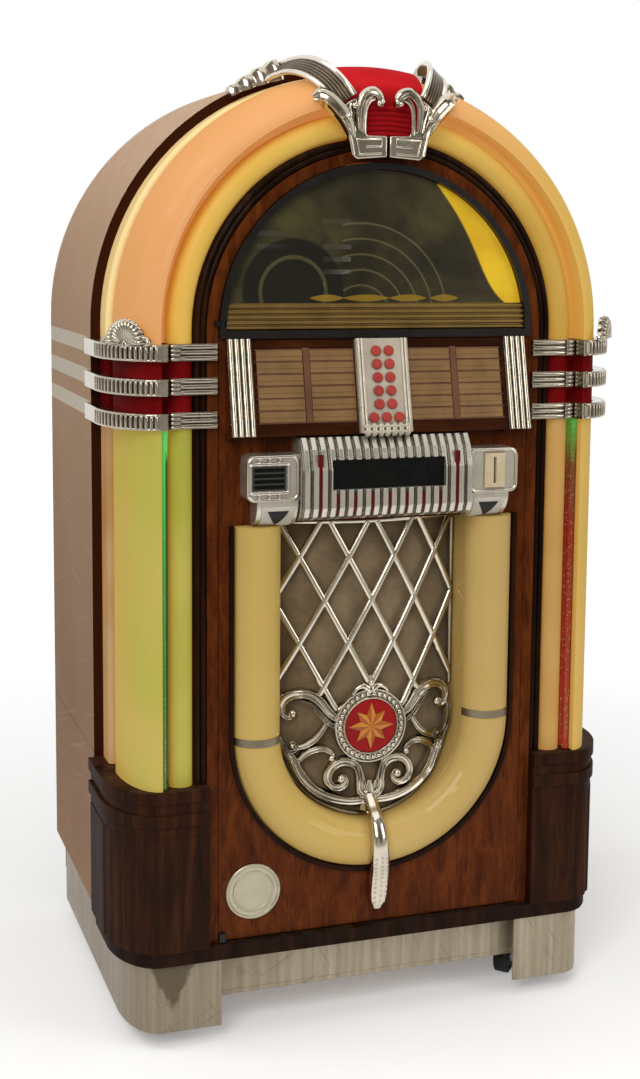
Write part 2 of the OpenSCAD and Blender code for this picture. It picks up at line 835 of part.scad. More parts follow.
// Changer: deck with player, magazine of discs, spindle and transfer arm
deck_z = arch_z - deck_drop;
deck_t = 12;
deck_top = deck_z + deck_t;
deck_half = shell_r - shell_t - seat;
deck_front = edge_y + flange_t + 6;
deck_back = rear_y - seat;
rail_t = 18;
rail_h = 36;
changer_y = 150;
magazine_x = -110;
magazine_shaft = 30;
player_x = 150;
player_h = 70;
player_half = 75;
player_bore = player_h - 10;
arm_x = 40;
arm_post_h = 150;
module changer_deck() {
    color([0.16, 0.16, 0.17]) {
        block(-deck_half, deck_half, deck_front, deck_back, deck_z, deck_top);
        both_sides() block(deck_half - rail_t, deck_half, deck_front, deck_back, deck_z - rail_h,
            deck_z + join);
        translate([magazine_x, changer_y, deck_z]) cylinder(deck_t + magazine_shaft, r = shaft_r);
        translate([arm_x, changer_y, deck_z]) cylinder(deck_t + arm_post_h, r = shaft_r);
        difference() {
            block(player_x - player_half, player_x + player_half, changer_y - player_half,
                changer_y + player_half, deck_z, deck_top + player_h);
            translate([player_x, changer_y, deck_top + player_h - player_bore])
                cylinder(player_bore + over, r = shaft_r + run_fit);
        }
    }
}

magazine_low = deck_top + 4;
magazine_plate = 10;
magazine_hub = 24;
slot_depth = 8;
held_r = disc_r - 6;
module disc_magazine() {
    color([0.7, 0.72, 0.75]) translate([magazine_x, changer_y, magazine_low]) {
        difference() {
            union() {
                cylinder(magazine_plate, r = magazine_r);
                cylinder(magazine_plate + disc_r, r = magazine_hub);
            }
            translate([0, 0, -over]) cylinder(magazine_shaft, r = shaft_r + run_fit);
        }
        for (i = [0:disc_count - 1])
            rotate([0, 0, 360 * i / disc_count])
                translate([magazine_r - held_r, 0, magazine_plate + disc_r - slot_depth])
                rotate([90, 0, 0]) cylinder(disc_t, r = held_r, center = true);
    }
}

spindle_z = deck_top + player_h;
spindle_rest = 6;
table_r = 20;
clamp_r = 14;
clamp_h = 10;
module player_spindle() {
    color([0.2, 0.2, 0.22]) translate([player_x, changer_y, 0]) {
        translate([0, 0, spindle_z - player_bore + over]) cylinder(player_bore + over, r = shaft_r);
        translate([0, 0, spindle_z + seat]) cylinder(spindle_rest, r = table_r);
        translate([0, 0, spindle_z + spindle_rest]) cylinder(disc_t, r = disc_r);
        translate([0, 0, spindle_z + spindle_rest]) cylinder(clamp_h, r = clamp_r);
    }
}

arm_bore = 14;
arm_low = deck_top + arm_post_h - arm_bore;
arm_hub = 16;
arm_hub_h = 20;
arm_reach = 100;
arm_half = 7;
arm_bar = 8;
grip_drop = 4;
module transfer_arm() {
    color([0.6, 0.6, 0.62]) translate([arm_x, changer_y, arm_low]) difference() {
        union() {
            cylinder(arm_hub_h, r = arm_hub);
            block(0, arm_reach, -arm_half, arm_half, arm_bar, 2 * arm_bar);
            block(arm_reach - arm_bar, arm_reach, -arm_half, arm_half, grip_drop, 2 * arm_bar);
        }
        translate([0, 0, -over]) cylinder(arm_bore + over, r = shaft_r + run_fit);
    }
}

// Amplifier on the floor board, with the mains inlet that shows in the back panel
amp_half = 130;
amp_h = 92;
amp_d = 150;
amp_fins = 9;
fin_t = 4;
fin_h = 22;
fin_set = 12;
fin_d = 120;
socket_w = 28;
socket_h = 18;
socket_d = 16;
module amplifier() {
    fin_step = (2 * amp_half - 2 * fin_set - fin_t) / (amp_fins - 1);
    amp_top = floor_top + amp_h;
    outside = rear_y + back_t;
    color([0.12, 0.12, 0.13]) difference() {
        union() {
            block(-amp_half, amp_half, rear_y - amp_d, rear_y - over, floor_top, amp_top);
            for (i = [0:amp_fins - 1])
                translate([-amp_half + fin_set + i * fin_step, rear_y - amp_d + fin_set, amp_top - join])
                cube([fin_t, fin_d, fin_h]);
            block(inlet_x - inlet_w / 2 + seat, inlet_x + inlet_w / 2 - seat, rear_y - 3 * over, outside,
                inlet_z - inlet_h / 2 + seat, inlet_z + inlet_h / 2 - seat);
        }
        block(inlet_x - socket_w / 2, inlet_x + socket_w / 2, outside - socket_d, outside + over,
            inlet_z - socket_h / 2, inlet_z + socket_h / 2);
    }
}

// Door hinge: two fixed pivots at the left edge, one in the black trim and one on the base moulding
pivot_x = -door_r + trim_w / 2;
pivot_y = face_y - trim_proud / 2;
pivot_r = 2.4;
pivot_head = 3.6;
pivot_sink = 12;
pivot_block_h = 14;
pivot_lug = 8;
lug_w = 6;
lug_d = 8;
upper_pivot_z = arch_z + 8;
upper_pin = 14;
lower_pin = door_low - plinth_top + pivot_block_h - 3;
module upper_pivot_room() {
    block(-opening_r - lug_w, -opening_r + over, face_y - over, face_y + lug_d, upper_pivot_z,
        upper_pivot_z + pivot_lug);
}
module hinge_pins() {
    color([0.12, 0.1, 0.09]) {
        translate([pivot_x, pivot_y, plinth_top - pivot_sink]) cylinder(pivot_sink + lower_pin, r = pivot_r);
        translate([pivot_x, pivot_y, upper_pivot_z - upper_pin]) cylinder(upper_pin + pivot_lug, r = pivot_r);
        translate([pivot_x, pivot_y, upper_pivot_z]) cylinder(pivot_lug, r = pivot_head);
        block(-opening_r - lug_w, pivot_x, pivot_y - pivot_r, face_y, upper_pivot_z,
            upper_pivot_z + pivot_lug);
        block(-opening_r - lug_w, -opening_r, pivot_y - pivot_r, face_y + lug_d, upper_pivot_z,
            upper_pivot_z + pivot_lug);
    }
}

// Door: veneered panel with the speaker's box behind it
grille_in = grille_r - grille_tube_w;
grille_drop = 300;
grille_top = arch_z - grille_drop;
box_wall = 13;
baffle_y = face_y + baffle_d;
baffle_t = 12;
woofer_z = grille_z + 60;
woofer_rim = 12;
pivot_room = 8.4;
dome_r = door_r - trim_w;
dome_low = arch_z - trim_drop + trim_w + 1;
module u_area(r, top) {
    translate([0, grille_z]) circle(r, $fn = 180);
    translate([-r, grille_z]) square([2 * r, top - grille_z]);
}
module dome_area(r, low) {
    intersection() {
        arch_area(r, low - over);
        translate([-r, low]) square(2 * r);
    }
}
module door_panel() {
    color([0.42, 0.2, 0.1]) difference() {
        union() {
            slab(face_y, panel_back) arch_area(door_r, door_low);
            slab(panel_back - join, baffle_y + baffle_t) u_area(grille_r + box_wall, grille_top + box_wall);
        }
        slab(face_y - over, panel_back + over) dome_area(dome_r, dome_low);
        slab(face_y - over, baffle_y) u_area(grille_r + seat, grille_top);
        translate([0, baffle_y - over, woofer_z]) rotate([-90, 0, 0])
            cylinder(baffle_t + 2 * over, r = woofer_r - woofer_rim);
        translate([pivot_x, pivot_y, upper_pivot_z - over]) cylinder(pivot_lug + 2 * over, r = pivot_room);
    }
}

trim_y = face_y - trim_proud;
pin_end = 3;
module dome_trim() {
    color([0.05, 0.045, 0.04]) {
        difference() {
            slab(trim_y, face_y) difference() {
                dome_area(door_r, arch_z - trim_drop);
                dome_area(dome_r, dome_low);
            }
            translate([pivot_x, pivot_y, upper_pivot_z - upper_pin - pin_end])
                cylinder(upper_pin + pin_end + over, r = pivot_r + run_fit);
            block(-door_r - over, -dome_r + over, trim_y - over, face_y + over, upper_pivot_z - seat,
                upper_pivot_z + pivot_lug + seat);
        }
        difference() {
            block(-door_r, -dome_r, trim_y, face_y, door_low, door_low + pivot_block_h);
            translate([pivot_x, pivot_y, door_low - over])
                cylinder(pivot_block_h, r = pivot_r + run_fit);
        }
    }
}

sill_top = dome_low + sill_h;
glass_y = face_y + 4;
module dome_glass() {
    color([0.2, 0.2, 0.1, 0.5]) slab(glass_y, glass_y + glass_t) dome_area(dome_r - seat, sill_top);
}

sill_y = face_y - 2;
module dome_sill() {
    ridge = sill_h / sill_ridges;
    color([0.45, 0.36, 0.22]) intersection() {
        union() {
            block(-door_r, door_r, sill_y, panel_back, dome_low, sill_top);
            for (i = [0:sill_ridges - 1])
                translate([-door_r, sill_y, dome_low + ridge * (i + 0.5)]) rotate([0, 90, 0])
                cylinder(2 * door_r, r = ridge * 0.36, $fn = 24);
        }
        slab(sill_y - sill_h, panel_back + over) arch_area(dome_r - seat, dome_low);
    }
}

// Title rack: everything on its leaning face is drawn upright and leant back together
rack_lip = 2;
rack_z = arch_z - trim_drop - 2 - rack_h * cos(rack_tilt);
rack_y = face_y - rack_lip - rack_h * sin(rack_tilt);
rack_top = rack_z + rack_h * cos(rack_tilt);
module leaning() {
    translate([0, rack_y, rack_z]) rotate([-rack_tilt, 0, 0]) children();
}
card_edge = 13;
card_low = 20;
card_sink = 1.5;
card_in = keypad_half + 3;
card_out = rack_half - 3;
rack_foot = 3;
module title_rack() {
    color([0.2, 0.1, 0.06]) difference() {
        across(-rack_half + seat, rack_half - seat) polygon([[face_y, rack_z - rack_foot], [rack_y, rack_z],
            [face_y - rack_lip, rack_top], [face_y, rack_top]]);
        leaning() both_sides() block(card_in, card_out, -over, card_sink, card_low, rack_h - card_edge);
    }
}

pilaster_y = 4 - pilaster_d;
module rack_pilasters() {
    step = pilaster_w / pilaster_flutes;
    color([0.82, 0.82, 0.8]) both_sides() intersection() {
        leaning() union() {
            block(rack_half, rack_half + pilaster_w, pilaster_y, console_d, 0, rack_h);
            for (i = [0:pilaster_flutes - 1])
                translate([rack_half + step * (i + 0.5), pilaster_y, 0])
                cylinder(rack_h, r = step * 0.46, $fn = 32);
        }
        block(0, shell_r, face_y - 2 * console_d, face_y, rack_z - rack_h, arch_z);
    }
}

button_rows = 5;
keypad_low = 1;
keypad_top = rack_h - 1;
key_row = keypad_top - 20;
key_floor = 2;
key_depth = keypad_t - key_floor;
reed_x = [39, 33.5];
keypad_reed = 2.6;
key_places = [for (r = [0:button_rows - 1], s = [-1, 1]) [s * button_pitch / 2, key_row - r * button_pitch],
    for (s = [-1, 0, 1]) [s * button_pitch, key_row - button_rows * button_pitch]];
module keypad_plate() {
    color([0.8, 0.79, 0.75]) leaning() difference() {
        union() {
            block(-keypad_half, keypad_half, -keypad_t, 0, keypad_low, keypad_top);
            both_sides() for (x = reed_x)
                translate([x, -keypad_t, keypad_low])
                cylinder(keypad_top - keypad_low, r = keypad_reed, $fn = 24);
        }
        for (p = key_places)
            translate([p[0], -key_floor, p[1]]) rotate([90, 0, 0])
                cylinder(key_depth + over, r = button_r + run_fit);
    }
}
button_stop = 0.5;
button_length = button_proud + key_depth - button_travel - button_stop;
button_crown = 1.2;
module button(i) {
    place = key_places[i];
    color([0.72, 0.16, 0.14]) leaning() translate([place[0], -keypad_t - button_proud, place[1]])
        rotate([-90, 0, 0]) rotate_extrude()
            polygon([[0, 0], [button_r - button_crown, 0], [button_r, button_crown],
                [button_r, button_length], [0, button_length]]);
}
module button_01() { button(0); }
module button_02() { button(1); }
module button_03() { button(2); }
module button_04() { button(3); }
module button_05() { button(4); }
module button_06() { button(5); }
module button_07() { button(6); }
module button_08() { button(7); }
module button_09() { button(8); }
module button_10() { button(9); }
module button_11() { button(10); }
module button_12() { button(11); }
module button_13() { button(12); }

// Coin console: ribbed middle, a box on each side and a round bracket under each box
console_top = rack_z - rack_foot;
console_low = console_top - console_h;
console_front = face_y - console_d;
rib_pitch = 2 * console_half / console_ribs;
rib_w = rib_pitch * 0.58;
rib_d = 7;
display_z = console_top - 34 - display_h;
display_d = 14;
display_t = 4;
box_top = console_top - 25;
box_low = box_top - box_h;
box_mid = box_top - box_h / 2;
box_front = face_y - box_d;
box_round = 12;
box_end = console_half + box_w;
insert_w = 54;
insert_h = 38;
insert_d = 5;
insert_x = -console_half - box_w / 2 - 6;
coin_w = 36;
coin_h = 56;
coin_x = console_half + box_w / 2 + 2;
coin_proud = 3;
slot_end = face_y - 6;
bracket_r = 42;
bracket_set = 16;
function console_side(d) = let (front = console_front + d) [[face_y, console_low],
    [face_y - console_d * 0.5, console_low], [front + 6, console_low + 8], [front, console_low + 22],
    [front, console_low + console_h * 0.62], [front + 9, console_top - 18], [front + 22, console_top],
    [face_y, console_top]];
module console_box() {
    slab(box_front, face_y) union() {
        translate([console_half - join, box_low]) square([box_w - box_round + join, box_h]);
        translate([box_end - box_round - join, box_low + box_round])
            square([box_round + join, box_h - 2 * box_round]);
        for (z = [box_low + box_round, box_top - box_round])
            translate([box_end - box_round, z]) circle(box_round, $fn = 32);
    }
    across(console_half + over, box_end - bracket_set) intersection() {
        translate([face_y, box_low]) circle(bracket_r);
        translate([face_y - bracket_r, box_low - bracket_r]) square([bracket_r, bracket_r + join]);
    }
}
// A block w wide and h high about a point of the boxes' front
module box_block(x, w, h, y0, y1) {
    block(x - w / 2, x + w / 2, y0, y1, box_mid - h / 2, box_mid + h / 2);
}
module coin_console() {
    color([0.82, 0.82, 0.8]) difference() {
        union() {
            across(-console_half, console_half) polygon(console_side(rib_d));
            for (i = [0:console_ribs - 1])
                let (x = -console_half + rib_pitch * (i + 0.5))
                across(x - rib_w / 2, x + rib_w / 2) polygon(console_side(0));
            both_sides() console_box();
        }
        block(-display_half, display_half, console_front - over, console_front + display_d, display_z,
            display_z + display_h);
        box_block(insert_x, insert_w, insert_h, box_front - over, box_front + insert_d);
        box_block(coin_x, coin_w, coin_h, box_front - over, box_front + insert_d);
        box_block(coin_x, slot_w, slot_h, box_front - over, slot_end);
    }
}

grid_bar = 3;
grid_count = 4;
grid_floor = 2;
module display_glass() {
    back = console_front + display_d;
    block(-display_half + seat, display_half - seat, back - display_t, back, display_z + seat,
        display_z + display_h - seat);
}
module grid_insert() {
    step = (insert_h - grid_bar) / grid_count;
    half = insert_w / 2 - grid_bar;
    difference() {
        box_block(insert_x, insert_w - 2 * seat, insert_h - 2 * seat, box_front, box_front + insert_d);
        for (i = [0:grid_count - 1])
            let (z = box_mid - insert_h / 2 + i * step)
            block(insert_x - half, insert_x + half, box_front - over, box_front + insert_d - grid_floor,
                z + grid_bar, z + step);
    }
}
module coin_plate() {
    difference() {
        box_block(coin_x, coin_w - 2 * seat, coin_h - 2 * seat, box_front - coin_proud, box_front + insert_d);
        box_block(coin_x, slot_w, slot_h, box_front - coin_proud - over, box_front + insert_d + over);
    }
}
module console_inserts() {
    color([0.03, 0.03, 0.03]) {
        display_glass();
        grid_insert();
    }
    color([0.9, 0.84, 0.68]) coin_plate();
}

// Grille: bulging lattice casting before the cloth, inside the cream tube
lattice_half = grille_in - 1;
lattice_edge = baffle_y - 12;
lattice_front = lattice_edge - bulge;
lattice_r = (lattice_half * lattice_half + bulge * bulge) / (2 * bulge);
cloth_r = lattice_r - bar_t - 5;
cloth_t = 2;
module bulged(r0, r1, z0, z1) {
    translate([0, lattice_front + lattice_r, z0]) difference() {
        cylinder(z1 - z0, r = r1, $fn = 180);
        translate([0, 0, -over]) cylinder(z1 - z0 + 2 * over, r = r0, $fn = 180);
    }
}
module grille_cloth() {
    color([0.5, 0.43, 0.32]) intersection() {
        bulged(cloth_r - cloth_t, cloth_r, grille_z - grille_r, grille_top);
        slab(lattice_front, baffle_y - seat) u_area(lattice_half, grille_top - seat);
    }
}
medallion_z = grille_z - 6;
ring_r = medallion_r + 13;
module bar(x, z, lean, length) {
    translate([x, z]) rotate(lean) translate([-bar_w / 2, -length / 2]) square([bar_w, length]);
}
module ring(x, z, r, w) {
    translate([x, z]) difference() {
        circle(r, $fn = 48);
        circle(r - w, $fn = 48);
    }
}
bead_ring_w = 12;
scroll_w = 9;
// Scrolls beside the medallion: distance from the middle, height above the round bottom's centre and radius
scrolls = [[44, -82, 34], [92, -34, 46], [112, 34, 40], [66, 26, 26]];
node_rise = 203;
lattice_node = grille_z + node_rise;
lattice_low = grille_z + 20;
lattice_side = 3;
rim_w = 8;
top_bar = 12;
module lattice_pattern() {
    lean = atan2(diamond_w, diamond_h);
    length = 6 * grille_r + 3 * diamond_h;
    difference() {
        union() {
            for (i = [-lattice_side:lattice_side], s = [-1, 1])
                bar(i * diamond_w, lattice_node, s * lean, length);
        }
        translate([0, medallion_z]) circle(ring_r - join, $fn = 96);
        translate([-grille_r, lattice_low - 2 * grille_r]) square([2 * grille_r, 2 * grille_r]);
    }
    ring(0, medallion_z, ring_r, bead_ring_w);
    for (s = [-1, 1], p = scrolls)
        ring(s * p[0], grille_z + p[1], p[2], scroll_w);
    translate([-grille_r, grille_top - seat - top_bar]) square([2 * grille_r, top_bar]);
    difference() {
        u_area(lattice_half, grille_top - seat);
        u_area(lattice_half - rim_w, grille_top);
    }
}
tongue_w = 26;
tongue_t = 7;
tongue_drop = 306;
tongue_low = grille_z - tongue_drop;
tube_radius = grille_tube_w / 2;
tube_centre_r = grille_r - tube_radius;
tube_centre_y = face_y + 11;
tongue_steps = 12;
tongue_start = 176;
tongue_end = 44;
function tongue_arc(r) = [for (i = [0:tongue_steps])
    let (t = tongue_start + (tongue_end - tongue_start) * i / tongue_steps)
    [tube_centre_y - r * sin(t), grille_z - tube_centre_r - r * cos(t)]];
module tongue() {
    inside = tube_radius + 2 * seat;
    foot_y = face_y - grille_moulding_d - plastic_seat;
    foot_z = grille_z - grille_r + 2;
    root_y = tube_centre_y - tongue_t;
    across(-tongue_w / 2, tongue_w / 2) {
        polygon(concat(tongue_arc(inside), [[foot_y, foot_z], [foot_y, tongue_low],
            [foot_y - tongue_t, tongue_low], [foot_y - tongue_t, foot_z - 3 * tongue_t]],
            reversed(tongue_arc(inside + tongue_t))));
        translate([root_y, grille_z - grille_in + 2 * seat])
            square([lattice_front + bar_t - join - root_y, top_bar]);
    }
}
module grille_casting() {
    color([0.82, 0.82, 0.8]) {
        intersection() {
            bulged(lattice_r - bar_t, lattice_r, grille_z - grille_r, grille_top);
            slab(lattice_front - over, baffle_y - seat) intersection() {
                lattice_pattern();
                u_area(lattice_half, grille_top - seat);
            }
        }
        tongue();
    }
}

medallion_t = 7;
ring_sink = 2;
module medallion() {
    color([0.7, 0.08, 0.08])
        translate([0, lattice_front - medallion_t, medallion_z]) rotate([-90, 0, 0]) {
            cylinder(medallion_t + ring_sink, r = medallion_r);
            translate([0, 0, ring_sink]) cylinder(medallion_t - ring_sink - seat, r = ring_r);
        }
}

grille_moulding_d = 6;
module grille_moulding() {
    color([0.07, 0.05, 0.04]) slab(face_y - grille_moulding_d, face_y) difference() {
        u_area(grille_r + grille_moulding_w, grille_top);
        u_area(grille_r + seat, grille_top + over);
    }
}

module grille_tube_profile() {
    channel_profile(tube_centre_r, tube_centre_y, tube_radius, baffle_y);
}
module grille_tubes() {
    color([0.95, 0.85, 0.58]) {
        translate([0, 0, grille_z]) rotate([-90, 0, 0])
            rotate_extrude(angle = 180, $fn = 180) grille_tube_profile();
        both_sides() upright(grille_z, grille_top - over) grille_tube_profile();
    }
}

woofer_d = 86;
magnet_r = 55;
magnet_h = 30;
rim_t = 6;
cone_r = 30;
cone_z = woofer_d - 40;
module woofer() {
    color([0.08, 0.08, 0.08]) translate([0, baffle_y + baffle_t, woofer_z]) rotate([-90, 0, 0])
        rotate_extrude() polygon([[woofer_r - 14, 0], [woofer_r, 0], [woofer_r, rim_t],
            [woofer_r - 8, rim_t + 2],
            [magnet_r + 2, woofer_d - magnet_h - 2], [magnet_r, woofer_d - magnet_h], [magnet_r, woofer_d],
            [0, woofer_d], [0, cone_z], [cone_r, cone_z], [woofer_r - 16, 4]]);
}

cabinet_shell();
cabinet_floor();
back_panel();
panel_screws();
front_frame();
tube_channel();
dark_mouldings();
plinth();
column_bases();
edge_plastics();
wide_plastics();
inner_plastics();
bubble_tubes();
red_lenses();
chrome_bands();
crown_castings();
caster_plates();
caster_fork_left();
caster_fork_right();
wheel_front_left();
wheel_front_right();
wheel_rear_left();
wheel_rear_right();
column_lamps();
colour_cylinder_left();
colour_cylinder_right();
changer_deck();
disc_magazine();
player_spindle();
transfer_arm();
amplifier();
hinge_pins();
door_panel();
dome_trim();
dome_glass();
dome_sill();
title_rack();
rack_pilasters();
keypad_plate();
coin_console();
console_inserts();
grille_cloth();
grille_casting();
medallion();
grille_moulding();
grille_tubes();
woofer();
button_01();
button_02();
button_03();
button_04();
button_05();
button_06();
button_07();
button_08();
button_09();
button_10();
button_11();
button_12();
button_13();
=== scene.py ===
import math

import bpy
from mathutils import Matrix, Vector


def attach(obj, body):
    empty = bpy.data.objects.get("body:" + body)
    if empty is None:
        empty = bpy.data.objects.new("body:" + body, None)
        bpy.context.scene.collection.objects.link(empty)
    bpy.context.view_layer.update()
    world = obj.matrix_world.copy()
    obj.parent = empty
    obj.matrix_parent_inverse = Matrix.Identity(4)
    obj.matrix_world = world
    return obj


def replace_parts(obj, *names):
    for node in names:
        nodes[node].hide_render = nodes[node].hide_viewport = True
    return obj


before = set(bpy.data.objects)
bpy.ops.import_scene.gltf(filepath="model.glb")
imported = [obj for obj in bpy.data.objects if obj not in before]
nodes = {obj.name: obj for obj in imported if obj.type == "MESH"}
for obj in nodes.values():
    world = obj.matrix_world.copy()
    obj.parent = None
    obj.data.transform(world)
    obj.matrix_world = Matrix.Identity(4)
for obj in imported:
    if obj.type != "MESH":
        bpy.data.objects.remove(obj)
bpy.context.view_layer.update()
scene = bpy.context.scene
mm = 0.001
print("frame loaded")


def tone(red, green, blue):
    parts = []
    for part in (red, green, blue):
        share = part / 255
        parts.append(share / 12.92 if share <= 0.04045 else ((share + 0.055) / 1.055) ** 2.4)
    return (*parts, 1.0)


def feed(tree, socket, value):
    if isinstance(value, bpy.types.NodeSocket):
        tree.links.new(value, socket)
    else:
        socket.default_value = value


def put(tree, kind, inputs=None, **settings):
    made = tree.nodes.new(kind)
    for name, value in settings.items():
        setattr(made, name, value)
    for name, value in (inputs or {}).items():
        feed(tree, made.inputs[name], value)
    return made


def calc(tree, operation, first, second=0.0, clamp=False):
    return put(tree, "ShaderNodeMath", {0: first, 1: second}, operation=operation, use_clamp=clamp).outputs[0]


def times(tree, first, second):
    return calc(tree, "MULTIPLY", first, second)


def plus(tree, first, second, clamp=False):
    return calc(tree, "ADD", first, second, clamp)


def minus(tree, first, second):
    return calc(tree, "SUBTRACT", first, second)


def larger(tree, first, second):
    return calc(tree, "MAXIMUM", first, second)


def under(tree, value, limit):
    return calc(tree, "LESS_THAN", value, limit)


def over(tree, value, limit):
    return calc(tree, "GREATER_THAN", value, limit)


def spread(tree, value, low, high, toLow=0.0, toHigh=1.0):
    inputs = {"Value": value, "From Min": low, "From Max": high, "To Min": toLow, "To Max": toHigh}
    return put(tree, "ShaderNodeMapRange", inputs).outputs[0]


def mixTone(tree, share, first, second):
    return put(tree, "ShaderNodeMix", {"Factor": share, 6: first, 7: second}, data_type="RGBA").outputs[2]


def ramp(tree, share, stops):
    made = put(tree, "ShaderNodeValToRGB", {0: share})
    elements = made.color_ramp.elements
    while len(elements) < len(stops):
        elements.new(0.5)
    for element, (place, colour) in zip(elements, stops):
        element.position = place
        element.color = colour
    return made.outputs[0]


def noise(tree, vector, scale, detail=3.0, rough=0.55, distortion=0.0):
    inputs = {"Vector": vector, "Scale": scale, "Detail": detail, "Roughness": rough, "Distortion": distortion}
    return put(tree, "ShaderNodeTexNoise", inputs).outputs["Fac"]


def placed(tree):
    return put(tree, "ShaderNodeTexCoord").outputs["Object"]


def cloudMask(tree, scale, detail=3.0, low=0.3, high=0.7):
    return spread(tree, noise(tree, placed(tree), scale, detail), low, high)


def axes(tree, vector):
    return put(tree, "ShaderNodeSeparateXYZ", {0: vector}).outputs


def stretched(tree, vector, factors):
    return put(tree, "ShaderNodeVectorMath", {0: vector, 1: factors}, operation="MULTIPLY").outputs[0]


def between(tree, value, low, high):
    return times(tree, over(tree, value, low), under(tree, value, high))


def makeGroup(name, inputs, outputs):
    tree = bpy.data.node_groups.new(name, "ShaderNodeTree")
    for label, kind, value in inputs:
        tree.interface.new_socket(label, in_out="INPUT", socket_type=kind).default_value = value
    for label, kind in outputs:
        tree.interface.new_socket(label, in_out="OUTPUT", socket_type=kind)
    return tree, tree.nodes.new("NodeGroupInput").outputs, tree.nodes.new("NodeGroupOutput").inputs


def useGroup(tree, group, **inputs):
    made = put(tree, "ShaderNodeGroup", node_tree=group)
    for name, value in inputs.items():
        feed(tree, made.inputs[name], value)
    return made.outputs


number = "NodeSocketFloat"
arrow = "NodeSocketVector"
colour = "NodeSocketColor"

# Wood: long figure along the grain, short figure across it, and dark pores
woodFigure, given, result = makeGroup(
    "woodFigure",
    [("Along", arrow, (2, 30, 30)), ("Across", arrow, (40, 6, 6)), ("Seed", number, 0.0)],
    [("Figure", number), ("Flecks", number), ("Pores", number)])
spot = put(woodFigure, "ShaderNodeVectorMath", {0: placed(woodFigure), 1: given["Seed"]}, operation="ADD").outputs[0]
long = noise(woodFigure, stretched(woodFigure, spot, given["Along"]), 1.0, 6.0, 0.62, 0.6)
cross = noise(woodFigure, stretched(woodFigure, spot, given["Across"]), 1.0, 3.0, 0.6, 0.3)
fine = noise(woodFigure, stretched(woodFigure, stretched(woodFigure, spot, given["Along"]), (4, 9, 9)), 1.0, 2.0)
feed(woodFigure, result["Figure"], spread(woodFigure, long, 0.3, 0.7))
feed(woodFigure, result["Flecks"], spread(woodFigure, cross, 0.52, 0.72))
feed(woodFigure, result["Pores"], spread(woodFigure, fine, 0.55, 0.7))

# Bare or dark line along the edges, broken up by noise
edgeWear, given, result = makeGroup(
    "edgeWear", [("Radius", number, 0.002), ("Amount", number, 0.6)], [("Wear", number)])
turned = put(edgeWear, "ShaderNodeBevel", {"Radius": given["Radius"]}, samples=4).outputs[0]
facing = put(edgeWear, "ShaderNodeNewGeometry").outputs["Normal"]
agree = put(edgeWear, "ShaderNodeVectorMath", {0: turned, 1: facing}, operation="DOT_PRODUCT").outputs["Value"]
patchy = cloudMask(edgeWear, 60.0, 3.0, 0.35, 0.6)
edge = times(edgeWear, spread(edgeWear, agree, 0.98, 0.85), patchy)
feed(edgeWear, result["Wear"], times(edgeWear, edge, given["Amount"]))

# Normal that rounds sharp edges
softEdge, given, result = makeGroup("softEdge", [("Radius", number, 0.0012)], [("Normal", arrow)])
feed(softEdge, result["Normal"], put(softEdge, "ShaderNodeBevel", {"Radius": given["Radius"]}, samples=4).outputs[0])

# Dust on faces that look up
dustFilm, given, result = makeGroup("dustFilm", [("Amount", number, 0.4)], [("Dust", number)])
upward = axes(dustFilm, put(dustFilm, "ShaderNodeNewGeometry").outputs["Normal"])["Z"]
cloudy = cloudMask(dustFilm, 35.0, 4.0, 0.3, 0.75)
film = times(dustFilm, spread(dustFilm, upward, 0.35, 0.95), cloudy)
feed(dustFilm, result["Dust"], times(dustFilm, film, given["Amount"]))

# Dirt and painted shade in corners, darkened where ambient occlusion finds them
cornerGrimeAndShade, given, result = makeGroup(
    "cornerGrimeAndShade", [("Distance", number, 0.012), ("Amount", number, 0.8)], [("GrimeAndShade", number)])
shade = put(cornerGrimeAndShade, "ShaderNodeAmbientOcclusion", {"Distance": given["Distance"]}, samples=6).outputs["AO"]
spotty = spread(cornerGrimeAndShade, noise(cornerGrimeAndShade, placed(cornerGrimeAndShade), 90.0), 0.2, 0.7, 0.5, 1.0)
dirtAndShade = times(cornerGrimeAndShade, spread(cornerGrimeAndShade, shade, 0.8, 0.25), spotty)
feed(cornerGrimeAndShade, result["GrimeAndShade"], times(cornerGrimeAndShade, dirtAndShade, given["Amount"]))

# Thin scratches in two directions
scuffs, given, result = makeGroup("scuffs", [("Scale", number, 1.0)], [("Scuffs", number)])
sized = stretched(scuffs, placed(scuffs), given["Scale"])
slanted = put(scuffs, "ShaderNodeMapping", {"Vector": sized, "Rotation": (0.3, 0.5, 0.2)}).outputs[0]
first = spread(scuffs, noise(scuffs, stretched(scuffs, slanted, (6, 6, 260)), 1.0, 1.0), 0.66, 0.74)
second = spread(scuffs, noise(scuffs, stretched(scuffs, slanted, (240, 8, 8)), 1.0, 1.0), 0.68, 0.76)
feed(scuffs, result["Scuffs"], larger(scuffs, first, second))

# Uneven gloss
unevenGloss, given, result = makeGroup(
    "unevenGloss", [("Low", number, 0.1), ("High", number, 0.3), ("Scale", number, 9.0)], [("Roughness", number)])
blotch = noise(unevenGloss, placed(unevenGloss), given["Scale"], 4.0)
feed(unevenGloss, result["Roughness"], spread(unevenGloss, blotch, 0.3, 0.7, given["Low"], given["High"]))
